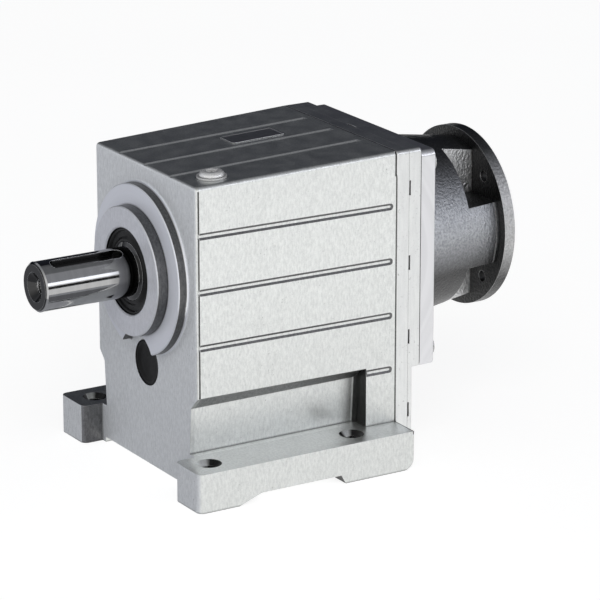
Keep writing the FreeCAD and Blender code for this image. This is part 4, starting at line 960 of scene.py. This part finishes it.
def bare_material(name):
    """A material without a surface shader; return it with its tree and its surface socket."""
    material, tree, shader = start_material(name)
    tree.nodes.remove(shader)
    return material, tree, tree.nodes["Material Output"].inputs["Surface"]


def floor_finish():
    """White, with a share of real light, to the camera and reflections; grey to light that scatters."""
    material, tree, surface = bare_material("studio_floor")
    spot = millimetres(tree)[0]
    grain = place(tree, "TexNoise", {"Vector": spot, "Scale": 0.004, "Detail": 2}).outputs["Fac"]
    shade = blend_colours(tree, grain, grey(0.30), grey(0.32))
    lit = place(tree, "BsdfDiffuse", {"Color": shade})
    glow = place(tree, "Emission", {"Color": grey(1), "Strength": FLOOR_GLOW})
    pale = place(tree, "AddShader", {0: lit.outputs[0], 1: glow.outputs[0]})
    dull = place(tree, "BsdfDiffuse", {"Color": grey(0.7)})
    path = place(tree, "LightPath")
    seen = maths(tree, "MAXIMUM", path.outputs["Is Camera Ray"], path.outputs["Is Glossy Ray"])
    seen = maths(tree, "MAXIMUM", seen, path.outputs["Is Transmission Ray"])
    mixed = place(tree, "MixShader", {0: seen, 1: dull.outputs[0], 2: pale.outputs[0]})
    tree.links.new(mixed.outputs[0], surface)
    return material


def flat_sheet(name, corner, along_u, along_v, material, steps=2):
    """A flat grid: corner + u * along_u + v * along_v for u and v from 0 to 1."""
    u, v = np.meshgrid(np.linspace(0, 1, steps), np.linspace(0, 1, steps))
    points = np.asarray(corner) + u[..., None] * np.asarray(along_u) + v[..., None] * np.asarray(along_v)
    index = np.arange(steps * steps).reshape(steps, steps)
    quads = np.stack([index[:-1, :-1], index[:-1, 1:], index[1:, 1:], index[1:, :-1]], -1)
    mesh = bpy.data.meshes.new(name)
    mesh.from_pydata(points.reshape(-1, 3).tolist(), [], quads.reshape(-1, 4).tolist())
    mesh.materials.append(material)
    sheet = bpy.data.objects.new(name, mesh)
    bpy.context.scene.collection.objects.link(sheet)
    return sheet


floor = flat_sheet("floor", (-20, -20, 0), (40, 0, 0), (0, 40, 0), floor_finish(), steps=9)
print("floor:", len(floor.data.polygons), "faces")

# %% [markdown]
# ## Cards
# Polished steel shows its surroundings, so a studio puts cards round it. A dim card lies on the floor
# in front, a bright strip stands at the right and draws the long light along the shaft, and the dark
# cards below and above the strip give that light its edges. Two small ones stand beside the shaft,
# below its axis, and let its lower half fade. Only reflections see them.

# %% Reflection cards
CARD_TINT = (0.96, 0.98, 1.05, 1)
CARD_CENTRE = np.array((0, -0.095, 0))
STRIP_BEARING, GAP_BEARING = (0.749, 0.498), (0.865, 0.498)
BESIDE_SHAFT, SHAFT_LENGTH = (0.06, -0.135), (0, 0.083, 0)


def card_finish(name, strength):
    """An even, slightly cool glow."""
    material, tree, surface = bare_material(name)
    glow = place(tree, "Emission", {"Color": CARD_TINT, "Strength": strength})
    tree.links.new(glow.outputs[0], surface)
    return material


def reflection_card(name, corner, along_u, along_v, strength):
    """A glowing sheet that only reflections see."""
    card = flat_sheet(name, corner, along_u, along_v, card_finish(name + "_glow", strength))
    for rays in ("camera", "diffuse", "shadow", "transmission"):
        setattr(card, "visible_" + rays, False)
    return card


def standing_card(name, direction, distance, width, low, high, strength):
    """An upright card: direction is its bearing from the shaft, low and high are its edges' heights."""
    bearing = np.array((direction[0], direction[1], 0.0)) / math.hypot(*direction)
    across = np.cross((0, 0, 1), bearing) * width
    foot = CARD_CENTRE + bearing * distance - across / 2 + (0, 0, low)
    return reflection_card(name, foot, across, (0, 0, high - low), strength)


reflection_card("front_card", (-4, -4, 0.0005), (4.08, 0, 0), (0, 3.9488, 0), 0.42)
standing_card("strip_card", STRIP_BEARING, distance=1.4, width=1.8, low=0.43, high=0.72, strength=2.4)
standing_card("gap_card", GAP_BEARING, distance=3.0, width=1.4, low=0.002, high=0.56, strength=0.03)
standing_card("upper_card", STRIP_BEARING, distance=1.41, width=1.8, low=0.72, high=2.3, strength=0.4)
reflection_card("fade_card", (*BESIDE_SHAFT, 0.088), SHAFT_LENGTH, (0, 0, 0.012), 0.42)
reflection_card("shade_card", (*BESIDE_SHAFT, 0.03), SHAFT_LENGTH, (0, 0, 0.058), 0.18)
print("cards ready")

# %% [markdown]
# ## Sky and lamp
# The sky's colour depends on how far a direction points to the viewer: dark behind the part, so that
# the top and the rear rims stay dark, and white in front. Overhead it is dimmer. One large, weak lamp
# from the upper right gives the shadows their direction.

# %% Sky and lamp
VIEWER_SIDE = (0.853, -0.522, 0.0)
SKY_STOPS = [(0.0, (0.019, 0.021, 0.029)), (0.17, (0.028, 0.031, 0.043)), (0.28, (0.58, 0.59, 0.63)),
             (0.5, (0.62, 0.64, 0.68)), (0.72, (1.0, 1.0, 1.0))]


def stand(thing, right, up, back, point):
    """Place a lamp or a camera by its three axes and its point."""
    pose = np.eye(4)
    pose[:3, 0], pose[:3, 1], pose[:3, 2], pose[:3, 3] = right, up, back, point
    thing.matrix_world = Matrix(pose.tolist())


def studio_sky():
    """World colour by direction: dark behind the part and overhead, bright towards the viewer."""
    world = bpy.data.worlds.new("studio_sky")
    bpy.context.scene.world = world
    world.use_nodes = True
    tree = world.node_tree
    direction = place(tree, "TexCoord").outputs["Generated"]
    toward = place(tree, "VectorMath", {0: direction, 1: VIEWER_SIDE}, operation="DOT_PRODUCT")
    along = maths(tree, "MULTIPLY_ADD", toward.outputs["Value"], 0.5, 0.5)
    ramp = place(tree, "ValToRGB", {0: along})
    band = ramp.color_ramp
    while len(band.elements) < len(SKY_STOPS):
        band.elements.new(0.5)
    for element, (at, level) in zip(band.elements, SKY_STOPS):
        element.position = at
        element.color = (*level, 1)
    height = place(tree, "SeparateXYZ", {0: direction}).outputs[2]
    back = tree.nodes["Background"]
    tree.links.new(ramp.outputs[0], back.inputs["Color"])
    tree.links.new(remap(tree, height, 0.35, 0.85, 1.0, 0.3), back.inputs["Strength"])
    return world


def soft_lamp(name, place_at, look_at, size, power):
    """A square lamp that looks at a point and isn't seen in reflections."""
    light = bpy.data.lights.new(name, "AREA")
    light.shape = "SQUARE"
    light.size = size
    light.energy = power
    lamp = bpy.data.objects.new(name, light)
    bpy.context.scene.collection.objects.link(lamp)
    from_part = np.asarray(place_at, float) - np.asarray(look_at, float)
    back = from_part / np.linalg.norm(from_part)
    right = np.cross((0, 0, 1), back)
    right /= np.linalg.norm(right)
    stand(lamp, right, np.cross(back, right), back, place_at)
    lamp.visible_glossy = False
    return lamp


studio_sky()
soft_lamp("key_lamp", place_at=(1.5, -0.9, 1.7), look_at=(0, 0.02, 0.1), size=1.0, power=12)
print("sky and lamp ready")

# %% [markdown]
# ## Camera
# The camera was fitted to the photograph: a long lens a little over two metres away, to the right of
# the shaft end and slightly above it.

# %% Camera
AZIMUTH = math.radians(58.511)
ELEVATION = math.radians(17.556)
DISTANCE = 2137.206 * MM
AIM = np.array((0, FRONT, 0)) * MM
SLIDE_RIGHT = 91.158 * MM
SLIDE_UP = 100.322 * MM
LENS, SENSOR = 213.74, 36
right = np.array((math.cos(AZIMUTH), math.sin(AZIMUTH), 0))
back = np.array((math.sin(AZIMUTH) * math.cos(ELEVATION), -math.cos(AZIMUTH) * math.cos(ELEVATION),
                 math.sin(ELEVATION)))
up = np.cross(back, right)
point = AIM + SLIDE_RIGHT * right + SLIDE_UP * up + DISTANCE * back
view = bpy.data.cameras.new("camera")
view.lens, view.sensor_width = LENS, SENSOR
view.clip_end = 100
camera = bpy.data.objects.new("camera", view)
bpy.context.scene.collection.objects.link(camera)
stand(camera, right, up, back, point)
bpy.context.scene.camera = camera
bpy.context.scene.view_settings.view_transform = "Standard"
print("camera at", np.round(point, 3).tolist())
